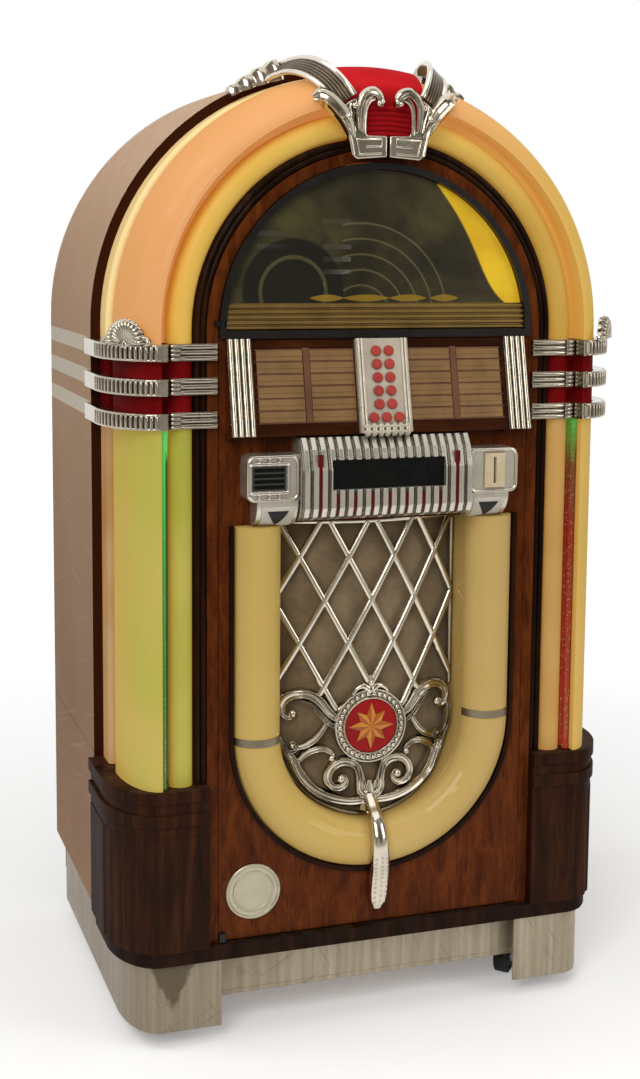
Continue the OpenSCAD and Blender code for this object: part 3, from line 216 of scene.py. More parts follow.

# Colour of a lit plastic: one for the arch and one for each column, with painted light: paler in cloudy patches as
# pools of lamp light, deeper on faces turned from the front, and a painted shadow in the gap of each column
litPlace = {"columns": (-0.05, 0.05), "archRight": (0.08, 0.36), "spring": (1.12, 1.04), "rim": (-0.5, 0.1, 0.0, 0.35),
            "cloudy": 0.22, "gapX": (0.3385, 0.3515), "gapY": (-0.25, -0.2), "gapTop": 1.0}
litColour, given, result = makeGroup(
    "litColour",
    [("Arch", colour, (1, 0.6, 0.3, 1)), ("ArchRight", colour, (0.8, 0.5, 0.1, 1)),
     ("Left", colour, (0.7, 0.7, 0.3, 1)), ("Right", colour, (1, 0.6, 0.3, 1)),
     ("Pale", colour, (1, 0.9, 0.7, 1)), ("Deep", colour, (0.8, 0.3, 0.05, 1))],
    [("Colour", colour)])
where = axes(litColour, placed(litColour))
column = mixTone(litColour, spread(litColour, where["X"], *litPlace["columns"]), given["Left"], given["Right"])
arch = mixTone(litColour, spread(litColour, where["X"], *litPlace["archRight"]), given["Arch"], given["ArchRight"])
base = mixTone(litColour, spread(litColour, where["Z"], *litPlace["spring"]), arch, column)
# Painted pools of lamp light in cloudy patches
cloud = cloudMask(litColour, 5.0, 2.0, 0.35, 0.65)
warm = mixTone(litColour, times(litColour, cloud, litPlace["cloudy"]), base, given["Pale"])
# Painted deeper colour on faces turned from the front
rim = axes(litColour, put(litColour, "ShaderNodeNewGeometry").outputs["Normal"])["Y"]
rimmed = mixTone(litColour, spread(litColour, rim, *litPlace["rim"]), warm, given["Deep"])
# Painted shadow in the gap of each column, below the arch
gapWide = between(litColour, calc(litColour, "ABSOLUTE", where["X"]), *litPlace["gapX"])
gapDeep = times(litColour, gapWide, between(litColour, where["Y"], *litPlace["gapY"]))
gapShadow = times(litColour, gapDeep, under(litColour, where["Z"], litPlace["gapTop"]))
feed(litColour, result["Colour"], mixTone(litColour, gapShadow, rimmed, tone(22, 24, 12)))
print("effect groups made")


# Mask of dirt and painted shade in corners
def grimeAndShadeMask(tree, distance, amount):
    return useGroup(tree, cornerGrimeAndShade, Distance=distance, Amount=amount)["GrimeAndShade"]


def glossMask(tree, low, high, scale=9.0):
    return useGroup(tree, unevenGloss, Low=low, High=high, Scale=scale)["Roughness"]


def scuffMask(tree, scale):
    return useGroup(tree, scuffs, Scale=scale)["Scuffs"]


def makeMaterial(name, **constants):
    made = bpy.data.materials.new(name)
    made.use_nodes = True
    bsdf = made.node_tree.nodes["Principled BSDF"]
    for label, value in constants.items():
        bsdf.inputs[label.replace("_", " ")].default_value = value
    return made, made.node_tree, bsdf.inputs


def lumpy(tree, sockets, height, strength, distance=0.001, normal=None):
    made = put(tree, "ShaderNodeBump", {"Height": height, "Strength": strength, "Distance": distance})
    if normal is not None:
        feed(tree, made.inputs["Normal"], normal)
    feed(tree, sockets["Normal"], made.outputs[0])


def rounded(tree, radius):
    return useGroup(tree, softEdge, Radius=radius)["Normal"]


def woodMaterial(name, dark, mid, light, along, across, flecks, gloss, seed=0.0):
    made, tree, sockets = makeMaterial(name, Coat_Weight=0.12, Coat_Roughness=0.15, Specular_IOR_Level=0.0)
    grain = useGroup(tree, woodFigure, Along=along, Across=across, Seed=seed)
    body = ramp(tree, grain["Figure"], [(0.0, dark), (0.5, mid), (1.0, light)])
    fleck = mixTone(tree, times(tree, grain["Flecks"], flecks), body, dark)
    bare = useGroup(tree, edgeWear, Radius=0.0015, Amount=0.35)["Wear"]
    worn = mixTone(tree, bare, fleck, light)
    dust = useGroup(tree, dustFilm, Amount=0.1)["Dust"]
    feed(tree, sockets["Base Color"], mixTone(tree, dust, worn, tone(150, 130, 110)))
    feed(tree, sockets["Roughness"], glossMask(tree, gloss, gloss + 0.16))
    lumpy(tree, sockets, grain["Pores"], 0.12, 0.0004, rounded(tree, 0.0012))
    return made


def metalMaterial(name, bright, dull, low, high, grime=0.8, scratch=0.35, distance=0.012):
    made, tree, sockets = makeMaterial(name, Metallic=1.0)
    blotch = cloudMask(tree, 26.0, 4.0, 0.35, 0.7)
    body = mixTone(tree, times(tree, blotch, 0.4), bright, dull)
    dirtAndShade = grimeAndShadeMask(tree, distance, grime)
    # Darker in corners: dirt and painted shade
    feed(tree, sockets["Base Color"], mixTone(tree, dirtAndShade, body, tone(34, 28, 22)))
    marks = scuffMask(tree, 1.0)
    gloss = glossMask(tree, low, high, 22.0)
    feed(tree, sockets["Roughness"], plus(tree, gloss, times(tree, marks, scratch * 0.4), True))
    lumpy(tree, sockets, plus(tree, blotch, marks), 0.05, 0.0006, rounded(tree, 0.0012))
    return made


def plasticMaterial(name, first, second, low, high, coat=0.04, soft=0.0008):
    made, tree, sockets = makeMaterial(name, Coat_Weight=coat, Coat_Roughness=0.1, Specular_IOR_Level=0.25)
    blotch = cloudMask(tree, 18.0, 4.0)
    body = mixTone(tree, blotch, first, second)
    dirtAndShade = grimeAndShadeMask(tree, 0.006, 0.5)
    # Darker in corners: dirt and painted shade
    feed(tree, sockets["Base Color"], mixTone(tree, dirtAndShade, body, tone(20, 16, 12)))
    feed(tree, sockets["Roughness"], glossMask(tree, low, high, 30.0))
    lumpy(tree, sockets, blotch, 0.03, 0.0005, rounded(tree, soft))
    return made


# Lit plastic: its colour is also given off as a painted glow, with the base colour darkened by the glow's share
def litMaterial(name, arch, archRight, left, right, pale, deep, glow, coat=0.1):
    made, tree, sockets = makeMaterial(
        name, Coat_Weight=coat, Coat_Roughness=0.05, Specular_IOR_Level=0.0, Emission_Strength=glow)
    lit = useGroup(
        tree, litColour, Arch=arch, ArchRight=archRight, Left=left, Right=right, Pale=pale, Deep=deep)["Colour"]
    dirtAndShade = grimeAndShadeMask(tree, 0.03, 0.6)
    # Darker in corners: dirt and painted shade
    body = mixTone(tree, dirtAndShade, lit, deep)
    feed(tree, sockets["Base Color"], mixTone(tree, glow, body, tone(0, 0, 0)))
    feed(tree, sockets["Emission Color"], body)
    feed(tree, sockets["Roughness"], glossMask(tree, 0.12, 0.22, 8.0))
    lumpy(tree, sockets, noise(tree, placed(tree), 30.0, 2.0), 0.02, 0.0008)
    return made


def dress(material, *names):
    for name in names:
        nodes[name].data.materials.clear()
        nodes[name].data.materials.append(material)


veneer = woodMaterial(
    "mahoganyVeneer", tone(66, 27, 8), tone(92, 43, 14), tone(112, 56, 20), (60, 40, 14), (170, 60, 36), 0.85, 0.3)
darkWood = woodMaterial(
    "darkWood", tone(18, 9, 5), tone(34, 18, 9), tone(54, 29, 14), (40, 40, 4), (9, 9, 24), 0.3, 0.24, 3.1)
columnWood = woodMaterial(
    "columnWood", tone(30, 14, 7), tone(48, 25, 12), tone(72, 38, 18), (50, 50, 4), (10, 10, 20), 0.3, 0.26, 7.7)
plyWood = woodMaterial(
    "plyWood", tone(120, 88, 54), tone(156, 120, 80), tone(184, 150, 106), (3, 40, 40), (20, 5, 5), 0.2, 0.5, 1.3)
hardBoard = woodMaterial(
    "hardBoard", tone(44, 34, 26), tone(58, 46, 36), tone(74, 60, 48), (30, 30, 30), (60, 60, 60), 0.3, 0.55, 5.2)
chrome = metalMaterial("wornChrome", tone(232, 224, 210), tone(190, 178, 160), 0.08, 0.22, 0.75)
castChrome = metalMaterial("castChrome", tone(226, 217, 200), tone(150, 138, 116), 0.06, 0.17, 1.0, 0.3, 0.012)
# A darker copy of the chrome, as painted shade, for the bands, pilasters, fan ribs, crown tails and band trim
shadedChrome = metalMaterial("shadedChrome", tone(196, 186, 168), tone(134, 124, 106), 0.1, 0.24, 1.0, 0.3, 0.01)
rackWood = woodMaterial(
    "rackWood", tone(42, 19, 8), tone(62, 31, 14), tone(84, 44, 20), (6, 40, 40), (40, 12, 12), 0.4, 0.3, 9.4)
steel = metalMaterial("zincSteel", tone(150, 150, 152), tone(98, 96, 94), 0.3, 0.5)
bronze = metalMaterial("dullBronze", tone(150, 122, 70), tone(92, 72, 38), 0.3, 0.45, 0.9)
darkAlloy = metalMaterial("blackAlloy", tone(44, 44, 46), tone(28, 28, 30), 0.35, 0.55)
satinAlloy = metalMaterial("satinAlloy", tone(176, 176, 178), tone(140, 140, 142), 0.25, 0.4)
blackPlastic = plasticMaterial("blackPlastic", tone(20, 17, 15), tone(32, 28, 25), 0.22, 0.4)
rubber = plasticMaterial("wheelRubber", tone(16, 16, 16), tone(34, 33, 32), 0.6, 0.8, 0.0)
whitePaint = plasticMaterial("whitePaint", tone(232, 226, 212), tone(214, 206, 190), 0.5, 0.7, 0.0)
buttonRed = plasticMaterial("buttonRed", tone(196, 74, 62), tone(170, 56, 48), 0.22, 0.34, 0.3, 0.004)
discSilver = metalMaterial("discSilver", tone(205, 208, 214), tone(160, 164, 176), 0.08, 0.2)

# Plastics lit from inside, each with a painted glow; lampLit is for the column lamps themselves
wideLit = litMaterial(
    "wideLit", tone(240, 170, 107), tone(224, 186, 78), tone(194, 184, 84), tone(220, 182, 94), tone(248, 196, 138),
    tone(228, 158, 64), 0.45)
innerLit = litMaterial(
    "innerLit", tone(240, 192, 86), tone(202, 156, 64), tone(180, 178, 74), tone(204, 156, 90), tone(250, 214, 128),
    tone(206, 128, 22), 0.3)
edgeLit = litMaterial(
    "edgeLit", tone(255, 230, 160), tone(234, 196, 118), tone(172, 130, 80), tone(222, 172, 104), tone(255, 236, 192),
    tone(196, 120, 48), 0.55)
grilleLit = litMaterial(
    "grilleLit", tone(212, 178, 98), tone(206, 172, 98), tone(212, 178, 98), tone(208, 174, 104), tone(226, 198, 124),
    tone(136, 102, 46), 0.1, 0.35)
filmLit = litMaterial(
    "filmLit", tone(226, 184, 84), tone(196, 150, 60), tone(180, 178, 74), tone(216, 156, 76), tone(250, 220, 150),
    tone(180, 110, 28), 0.3)
lampLit = litMaterial(
    "lampLit", tone(250, 240, 216), tone(250, 240, 216), tone(250, 246, 216), tone(250, 236, 210), tone(255, 252, 244),
    tone(220, 190, 140), 0.8)


# Side paint: paler towards the top as painted light, with three stripes and the seam of the lower panel; the front
# edge is brown
sidePaint = {"fade": (0.5, 1.05), "stripes": ((1.0895, 1.115), (1.0378, 1.0633), (0.9862, 1.0116)),
             "seam": (0.4315, 0.433), "dust": 0.45, "frontFace": -0.6}


def stripedPaint():
    made, tree, sockets = makeMaterial("taupePaint", Coat_Weight=0.06, Coat_Roughness=0.35, Specular_IOR_Level=0.0)
    height = axes(tree, placed(tree))["Z"]
    cloud = cloudMask(tree, 3.0, 5.0)
    lower = mixTone(tree, cloud, tone(158, 126, 102), tone(168, 137, 112))
    upper = mixTone(tree, cloud, tone(188, 154, 126), tone(198, 165, 136))
    # Painted light: paler towards the top
    paint = mixTone(tree, spread(tree, height, *sidePaint["fade"]), lower, upper)
    bars = 0.0
    for stripe in sidePaint["stripes"]:
        bars = plus(tree, bars, between(tree, height, *stripe))
    striped = mixTone(tree, bars, paint, tone(222, 210, 192))
    seam = times(tree, between(tree, height, *sidePaint["seam"]), 0.7)
    seamed = mixTone(tree, seam, striped, tone(70, 52, 42))
    scuffed = mixTone(tree, times(tree, scuffMask(tree, 0.5), 0.25), seamed, tone(196, 176, 158))
    dust = useGroup(tree, dustFilm, Amount=sidePaint["dust"])["Dust"]
    dusty = mixTone(tree, dust, scuffed, tone(232, 208, 182))
    facing = axes(tree, put(tree, "ShaderNodeTexCoord").outputs["Normal"])["Y"]
    front = under(tree, facing, sidePaint["frontFace"])
    feed(tree, sockets["Base Color"], mixTone(tree, front, dusty, tone(56, 26, 12)))
    feed(tree, sockets["Roughness"], glossMask(tree, 0.42, 0.58, 6.0))
    lumpy(tree, sockets, noise(tree, placed(tree), 220.0, 2.0), 0.05, 0.0004, rounded(tree, 0.0015))
    return made


# Grooves of the console darkened between its ribs as painted shade
ribs = {"pitch": 0.0142, "half": 0.142, "groove": 0.0018, "edge": 0.0034}


def ribbedMetal():
    made, tree, sockets = makeMaterial("ribbedMetal", Metallic=0.75)
    across = axes(tree, placed(tree))["X"]
    apart = calc(tree, "PINGPONG", across, ribs["pitch"] / 2)
    among = under(tree, calc(tree, "ABSOLUTE", across), ribs["half"])
    # Painted shade in the grooves between the ribs
    groove = times(tree, spread(tree, apart, ribs["edge"], ribs["groove"]), among)
    blotch = cloudMask(tree, 26.0, 4.0, 0.35, 0.7)
    body = mixTone(tree, times(tree, blotch, 0.5), tone(218, 212, 198), tone(188, 180, 162))
    dirtAndShade = larger(tree, grimeAndShadeMask(tree, 0.008, 0.8), times(tree, groove, 0.85))
    feed(tree, sockets["Base Color"], mixTone(tree, dirtAndShade, body, tone(52, 45, 37)))
    feed(tree, sockets["Roughness"], glossMask(tree, 0.2, 0.34, 22.0))
    lumpy(tree, sockets, blotch, 0.05, 0.0006, rounded(tree, 0.0022))
    return made


# Plinth: brushed metal, darker to the left as painted shade, with a dark wedge on the left foot
plinthDarkening = {"wedgeX": 0.336, "wedgeTop": 0.134, "slope": (1.1, 0.55), "ragged": 0.03, "edge": (0.042, 0.034),
              "front": -0.2, "dull": (-0.1, -0.34)}


def plinthMetal():
    made, tree, sockets = makeMaterial("plinthMetal", Metallic=0.6)
    spot = placed(tree)
    brushed = noise(tree, stretched(tree, spot, (90, 90, 3)), 1.0, 3.0)
    body = ramp(tree, brushed, [(0.3, tone(150, 137, 115)), (0.5, tone(164, 151, 129)), (0.7, tone(182, 169, 147))])
    marked = mixTone(tree, times(tree, scuffMask(tree, 1.4), 0.5), body, tone(92, 80, 64))
    worn = spread(tree, noise(tree, spot, 14.0, 6.0, 0.7), 0.58, 0.72)
    rubbed = mixTone(tree, times(tree, worn, 0.5), marked, tone(122, 108, 88))
    where = axes(tree, spot)
    # Dark wedge on the left foot, also rougher
    across = calc(tree, "ABSOLUTE", plus(tree, where["X"], plinthDarkening["wedgeX"]))
    down = minus(tree, plinthDarkening["wedgeTop"], where["Z"])
    acrossSlope, downSlope = plinthDarkening["slope"]
    reach = plus(tree, times(tree, across, acrossSlope), times(tree, down, downSlope))
    rough = minus(tree, noise(tree, spot, 60.0, 3.0), 0.5)
    ragged = plus(tree, reach, times(tree, rough, plinthDarkening["ragged"]))
    front = under(tree, where["Y"], plinthDarkening["front"])
    darkWedge = times(tree, spread(tree, ragged, *plinthDarkening["edge"]), front)
    wedgeDarkened = mixTone(tree, times(tree, darkWedge, 0.8), rubbed, tone(86, 74, 58))
    # Painted shade: darker towards the left
    dull = times(tree, spread(tree, where["X"], *plinthDarkening["dull"]), 0.5)
    leftShaded = mixTone(tree, dull, wedgeDarkened, tone(112, 98, 79))
    # Darker in corners: dirt and painted shade
    feed(tree, sockets["Base Color"], mixTone(tree, grimeAndShadeMask(tree, 0.02, 0.6), leftShaded, tone(60, 50, 40)))
    gloss = glossMask(tree, 0.34, 0.5)
    feed(tree, sockets["Roughness"], plus(tree, gloss, times(tree, darkWedge, 0.3), True))
    lumpy(tree, sockets, brushed, 0.08, 0.0004, rounded(tree, 0.0015))
    return made


# Red lens: painted light, brighter towards the top front, darker in the window between the castings and in the
# collars, with a faint painted glow
lens = {"height": (1.2, 1.4), "depth": (-0.277, -0.262)}


def redLens():
    made, tree, sockets = makeMaterial(
        "redLens", Coat_Weight=0.04, Coat_Roughness=0.08, Specular_IOR_Level=0.0, Emission_Strength=0.12)
    where = axes(tree, placed(tree))
    height = spread(tree, where["Z"], *lens["height"])
    top = times(tree, height, spread(tree, where["Y"], *lens["depth"]))
    cloud = cloudMask(tree, 12.0, 2.0)
    lower = mixTone(tree, cloud, tone(100, 11, 13), tone(126, 17, 19))
    window = mixTone(tree, height, lower, tone(150, 20, 24))
    upper = mixTone(tree, cloud, tone(178, 21, 27), tone(192, 28, 33))
    body = mixTone(tree, top, window, upper)
    feed(tree, sockets["Base Color"], body)
    feed(tree, sockets["Emission Color"], body)
    feed(tree, sockets["Roughness"], glossMask(tree, 0.14, 0.24))
    return made


# Bubble tubes: green at the left and red at the right, greener towards the top, with a painted glow and painted shade
# on the side away from the lamp
tubeGlow = {"height": (0.424, 0.985), "beads": 160.0, "beadEdge": (0.1, 0.35), "shade": (0.955, 0.935),
            "darkLeft": (-0.3448, -0.33), "darkRight": 0.347}


def bubbleGlass():
    made, tree, sockets = makeMaterial("bubbleGlass", Coat_Weight=0.3, Coat_Roughness=0.03, Emission_Strength=0.35)
    spot = placed(tree)
    where = axes(tree, spot)
    height = spread(tree, where["Z"], *tubeGlow["height"])
    left = ramp(tree, height, [
        (0.0, tone(92, 112, 44)), (0.3, tone(58, 128, 46)), (0.7, tone(62, 168, 64)),
        (0.84, tone(70, 190, 80)), (1.0, tone(96, 206, 96))])
    right = ramp(tree, height, [
        (0.0, tone(150, 44, 24)), (0.7, tone(128, 28, 20)), (0.86, tone(104, 60, 28)), (1.0, tone(70, 160, 56))])
    cells = put(tree, "ShaderNodeTexVoronoi", {"Vector": spot, "Scale": tubeGlow["beads"]}).outputs["Distance"]
    beads = minus(tree, 1.0, spread(tree, cells, *tubeGlow["beadEdge"]))
    body = mixTone(tree, over(tree, where["X"], 0.0), left, right)
    beaded = mixTone(tree, times(tree, beads, 0.2), body, tone(170, 220, 150))
    far = larger(tree, between(tree, where["X"], *tubeGlow["darkLeft"]), over(tree, where["X"], tubeGlow["darkRight"]))
    shaded = times(tree, far, spread(tree, where["Z"], *tubeGlow["shade"]))
    lit = mixTone(tree, times(tree, shaded, 0.88), beaded, tone(20, 26, 12))
    feed(tree, sockets["Base Color"], lit)
    feed(tree, sockets["Emission Color"], lit)
    feed(tree, sockets["Roughness"], glossMask(tree, 0.05, 0.12))
    return made


# Light channel: a painted orange glow behind the arch, painted shade behind the columns and plain white further in
channel = {"spring": (1.12, 1.04), "front": -0.06}


def channelPaint():
    made, tree, sockets = makeMaterial("channelPaint", Emission_Strength=0.35)
    where = axes(tree, placed(tree))
    glow = mixTone(tree, cloudMask(tree, 7.0), tone(214, 120, 44), tone(196, 88, 30))
    shade = mixTone(tree, spread(tree, where["Z"], *channel["spring"]), glow, tone(34, 30, 14))
    front = under(tree, where["Y"], channel["front"])
    feed(tree, sockets["Base Color"], mixTone(tree, front, tone(222, 216, 202), shade))
    feed(tree, sockets["Emission Color"], mixTone(tree, front, tone(0, 0, 0), shade))
    feed(tree, sockets["Roughness"], glossMask(tree, 0.5, 0.7))
    return made


# Dome glass: a yellow crescent, thin rings, a dark disc and a row of gilt leaves on smoky glass, with a painted glow,
# strong on the crescent and faint elsewhere
dome = {"base": 1.133, "rings": (-0.03, 0.02), "ringRadii": (0.05, 0.074, 0.098, 0.122, 0.146), "ringHalf": 0.0022,
        "sector": (-0.06, 0.16), "disc": (-0.14, 0.06), "discEdge": (0.083, 0.08), "hub": (0.05, 0.056),
        "leaves": ((-0.085, 0.03), (-0.02, 0.042), (0.05, 0.034), (0.112, 0.026)), "leafZ": 0.05, "leafTall": 0.006,
        "crescent": (math.radians(8), math.radians(68)), "crescentWide": 0.05, "crescentOuter": 0.2492}


def printedGlass():
    made, tree, sockets = makeMaterial(
        "printedGlass", Coat_Weight=0.3, Coat_Roughness=0.03, Specular_IOR_Level=0.3, Emission_Strength=0.3)
    spot = placed(tree)
    where = axes(tree, spot)
    x = where["X"]
    z = minus(tree, where["Z"], dome["base"])
    cloud = noise(tree, spot, 7.0, 4.0, 0.6, 0.8)
    body = ramp(tree, cloud, [(0.3, tone(40, 36, 26)), (0.5, tone(58, 53, 36)), (0.7, tone(84, 77, 44))])

    def distance(centreX, centreZ):
        dx = minus(tree, x, centreX)
        dz = minus(tree, z, centreZ)
        return calc(tree, "SQRT", plus(tree, times(tree, dx, dx), times(tree, dz, dz)))

    fromRings = distance(*dome["rings"])
    lines = 0.0
    for radius in dome["ringRadii"]:
        away = calc(tree, "ABSOLUTE", minus(tree, fromRings, radius))
        lines = larger(tree, lines, spread(tree, away, dome["ringHalf"], dome["ringHalf"] * 0.4))
    arcs = times(tree, lines, between(tree, x, *dome["sector"]))
    lined = mixTone(tree, times(tree, arcs, 0.4), body, tone(142, 132, 88))
    fromDisc = distance(*dome["disc"])
    dark = mixTone(tree, spread(tree, fromDisc, *dome["discEdge"]), lined, tone(34, 33, 26))
    hub = mixTone(tree, times(tree, between(tree, fromDisc, *dome["hub"]), 0.7), dark, tone(98, 92, 58))
    leaves = 0.0
    for centre, half in dome["leaves"]:
        wide = calc(tree, "DIVIDE", minus(tree, x, centre), half)
        tall = calc(tree, "DIVIDE", minus(tree, z, dome["leafZ"]), dome["leafTall"])
        reach = plus(tree, times(tree, wide, wide), calc(tree, "ABSOLUTE", tall))
        leaves = larger(tree, leaves, spread(tree, reach, 1.0, 0.8))
    gilt = mixTone(tree, times(tree, leaves, 0.75), hub, tone(176, 140, 40))
    share = calc(tree, "POWER", spread(tree, calc(tree, "ARCTAN2", z, x), *dome["crescent"]), 0.6)
    swell = calc(tree, "SINE", times(tree, share, math.pi))
    width = times(tree, calc(tree, "POWER", swell, 0.75), dome["crescentWide"])
    inner = minus(tree, dome["crescentOuter"], width)
    crescent = spread(tree, minus(tree, distance(0.0, 0.0), inner), 0.001, 0.004)
    feather = mixTone(tree, cloudMask(tree, 16.0), tone(228, 188, 40), tone(206, 160, 26))
    feed(tree, sockets["Base Color"], mixTone(tree, crescent, gilt, feather))
    feed(tree, sockets["Emission Color"], mixTone(tree, crescent, tone(18, 17, 12), feather))
    feed(tree, sockets["Alpha"], spread(tree, plus(tree, cloud, crescent), 0.3, 0.75, 0.72, 1.0))
    feed(tree, sockets["Roughness"], glossMask(tree, 0.05, 0.14))
    return made


def wovenCloth():
    made, tree, sockets = makeMaterial("wovenCloth", Sheen_Weight=0.3)
    spot = placed(tree)
    weave = 0.0
    for direction in ("X", "Z"):
        inputs = {"Vector": spot, "Scale": 190.0, "Distortion": 2.5, "Detail": 2.0}
        threads = put(tree, "ShaderNodeTexWave", inputs, bands_direction=direction)
        weave = plus(tree, weave, threads.outputs["Fac"])
    thread = times(tree, weave, 0.5)
    body = ramp(tree, thread, [(0.1, tone(84, 68, 46)), (0.5, tone(142, 119, 86)), (0.9, tone(184, 160, 122))])
    aged = spread(tree, noise(tree, spot, 26.0, 7.0, 0.7), 0.38, 0.66)
    feed(tree, sockets["Base Color"], mixTone(tree, times(tree, aged, 0.55), body, tone(92, 75, 52)))
    feed(tree, sockets["Roughness"], glossMask(tree, 0.8, 0.95))
    lumpy(tree, sockets, thread, 0.5, 0.0008)
    return made


# Console inserts: black display, black louvres at the left and an ivory coin plate at the right
inserts = {"side": 0.12, "slatFront": -0.2992}


def insertPlastic():
    made, tree, sockets = makeMaterial("insertPlastic", Specular_IOR_Level=0.15)
    where = axes(tree, placed(tree))
    mottle = cloudMask(tree, 40.0, 3.0)
    black = mixTone(tree, mottle, tone(10, 11, 11), tone(20, 21, 20))
    ivory = mixTone(tree, mottle, tone(226, 208, 172), tone(210, 190, 152))
    slats = times(tree, under(tree, where["X"], -inserts["side"]), under(tree, where["Y"], inserts["slatFront"]))
    louvred = mixTone(tree, slats, black, tone(62, 61, 56))
    coinSide = over(tree, where["X"], inserts["side"])
    feed(tree, sockets["Base Color"], mixTone(tree, coinSide, louvred, ivory))
    feed(tree, sockets["Roughness"], glossMask(tree, 0.12, 0.26, 30.0))
    return made


def ivoryPlate():
    made, tree, sockets = makeMaterial("ivoryPlate", Metallic=0.35, Coat_Weight=0.2)
    mottle = cloudMask(tree, 30.0, 4.0)
    body = mixTone(tree, mottle, tone(216, 206, 186), tone(196, 184, 162))
    # Darker in corners: dirt and painted shade
    feed(tree, sockets["Base Color"], mixTone(tree, grimeAndShadeMask(tree, 0.006, 0.9), body, tone(90, 74, 56)))
    feed(tree, sockets["Roughness"], glossMask(tree, 0.22, 0.36))
    lumpy(tree, sockets, mottle, 0.04, 0.0005, rounded(tree, 0.001))
    return made


dress(stripedPaint(), "cabinet_shell")
dress(plyWood, "cabinet_floor")
dress(hardBoard, "back_panel")
dress(steel, "panel_screws", "caster_plates", "caster_fork_left", "caster_fork_right")
dress(veneer, "front_frame", "door_panel")
dress(darkWood, "dark_mouldings", "grille_moulding")
dress(rackWood, "title_rack")
dress(columnWood, "column_bases")
dress(channelPaint(), "tube_channel")
dress(plinthMetal(), "plinth")
dress(wideLit, "wide_plastics")
dress(innerLit, "inner_plastics")
dress(edgeLit, "edge_plastics")
dress(grilleLit, "grille_tubes")
dress(filmLit, "colour_cylinder_left", "colour_cylinder_right")
dress(lampLit, "column_lamps")
dress(bubbleGlass(), "bubble_tubes")
dress(redLens(), "red_lenses")
dress(ribbedMetal(), "coin_console")
dress(shadedChrome, "chrome_bands", "rack_pilasters")
dress(castChrome, "crown_castings", "grille_casting")
dress(rubber, "wheel_front_left", "wheel_front_right", "wheel_rear_left", "wheel_rear_right")
dress(darkAlloy, "changer_deck", "amplifier", "hinge_pins")
dress(discSilver, "disc_magazine")
dress(blackPlastic, "player_spindle", "dome_trim", "woofer")
dress(satinAlloy, "transfer_arm")
dress(printedGlass(), "dome_glass")
dress(bronze, "dome_sill")
dress(ivoryPlate(), "keypad_plate")
dress(insertPlastic(), "console_inserts")
dress(wovenCloth(), "grille_cloth")
dress(buttonRed, "medallion", *[f"button_{number:02d}" for number in range(1, 14)])
print("materials dressed")


# Pieces over and in place of the plain castings, in millimetres until they are placed
def arc(count, start, end):
    return [math.radians(start + (end - start) * step / count) for step in range(count + 1)]


def smoothPath(points, steps=6):
    points = [Vector(point) for point in points]
    ends = [2 * points[0] - points[1], *points, 2 * points[-1] - points[-2]]
    path = []
    for before, first, second, after in zip(ends, ends[1:], ends[2:], ends[3:]):
        for step in range(steps):
            t = step / steps
            path.append(0.5 * (2 * first + (second - before) * t
                               + (2 * before - 5 * first + 4 * second - after) * t * t
                               + (3 * first - before - 3 * second + after) * t ** 3))
    return [*path, points[-1]]


def newShape():
    return {"points": [], "faces": []}


def addFaces(shape, start, faces):
    shape["faces"] += [tuple(start + index for index in face) for face in faces]


def sweep(shape, path, profile, sizes=None, front=(0, -1, 0), closed=False):
    path = [Vector(point) for point in path]
    fronts = front if isinstance(front, list) else [Vector(front)] * len(path)
    start = len(shape["points"])
    count = len(profile)
    last = len(path) - 1
    for place, point in enumerate(path):
        if closed:
            ahead = path[(place + 1) % len(path)] - path[place - 1]
        else:
            ahead = path[min(place + 1, last)] - path[max(place - 1, 0)]
        side = ahead.cross(fronts[place]).normalized()
        out = side.cross(ahead).normalized()
        size = sizes[place] if sizes else 1.0
        shape["points"] += [point + side * s * size + out * h * size for s, h in profile]
    for ringStart in range(len(path) if closed else last):
        first = start + ringStart * count
        second = start + (ringStart + 1) % len(path) * count
        for step in range(count):
            following = (step + 1) % count
            shape["faces"].append((first + step, second + step, second + following, first + following))
    if not closed:
        shape["faces"].append(tuple(range(start, start + count)))
        shape["faces"].append(tuple(reversed(range(start + last * count, start + last * count + count))))


def extruded(shape, outline, front, back):
    start = len(shape["points"])
    count = len(outline)
    shape["points"] += [Vector((x, front, z)) for x, z in outline] + [Vector((x, back, z)) for x, z in outline]
    shape["faces"].append(tuple(range(start, start + count)))
    shape["faces"].append(tuple(reversed(range(start + count, start + 2 * count))))
    for step in range(count):
        following = (step + 1) % count
        shape["faces"].append((start + step, start + count + step, start + count + following, start + following))


def turned(shape, centre, profile, count=48):
    start = len(shape["points"])
    centre = Vector(centre)
    rows = len(profile)
    for step in range(count):
        angle = 2 * math.pi * step / count
        ray = Vector((math.cos(angle), 0, math.sin(angle)))
        shape["points"] += [centre + ray * radius + Vector((0, -rise, 0)) for radius, rise in profile]
    for step in range(count):
        first = start + step * rows
        second = start + (step + 1) % count * rows
        for row in range(rows):
            following = (row + 1) % rows
            shape["faces"].append((first + row, first + following, second + following, second + row))


def bead(shape, centre, radius, rings=6, count=10):
    path = [Vector(centre) + Vector((0, 0, radius * -math.cos(angle))) for angle in arc(rings, 8, 172)]
    sizes = [radius * math.sin(angle) for angle in arc(rings, 8, 172)]
    sweep(shape, path, [(math.cos(angle), math.sin(angle)) for angle in arc(count, 0, 360)[:-1]], sizes)


def flipped(shape):
    made = {"points": [Vector((-point.x, point.y, point.z)) for point in shape["points"]]}
    made["faces"] = [tuple(reversed(face)) for face in shape["faces"]]
    return made


def addMirror(shape):
    other = flipped(shape)
    start = len(shape["points"])
    shape["points"] += other["points"]
    addFaces(shape, start, other["faces"])


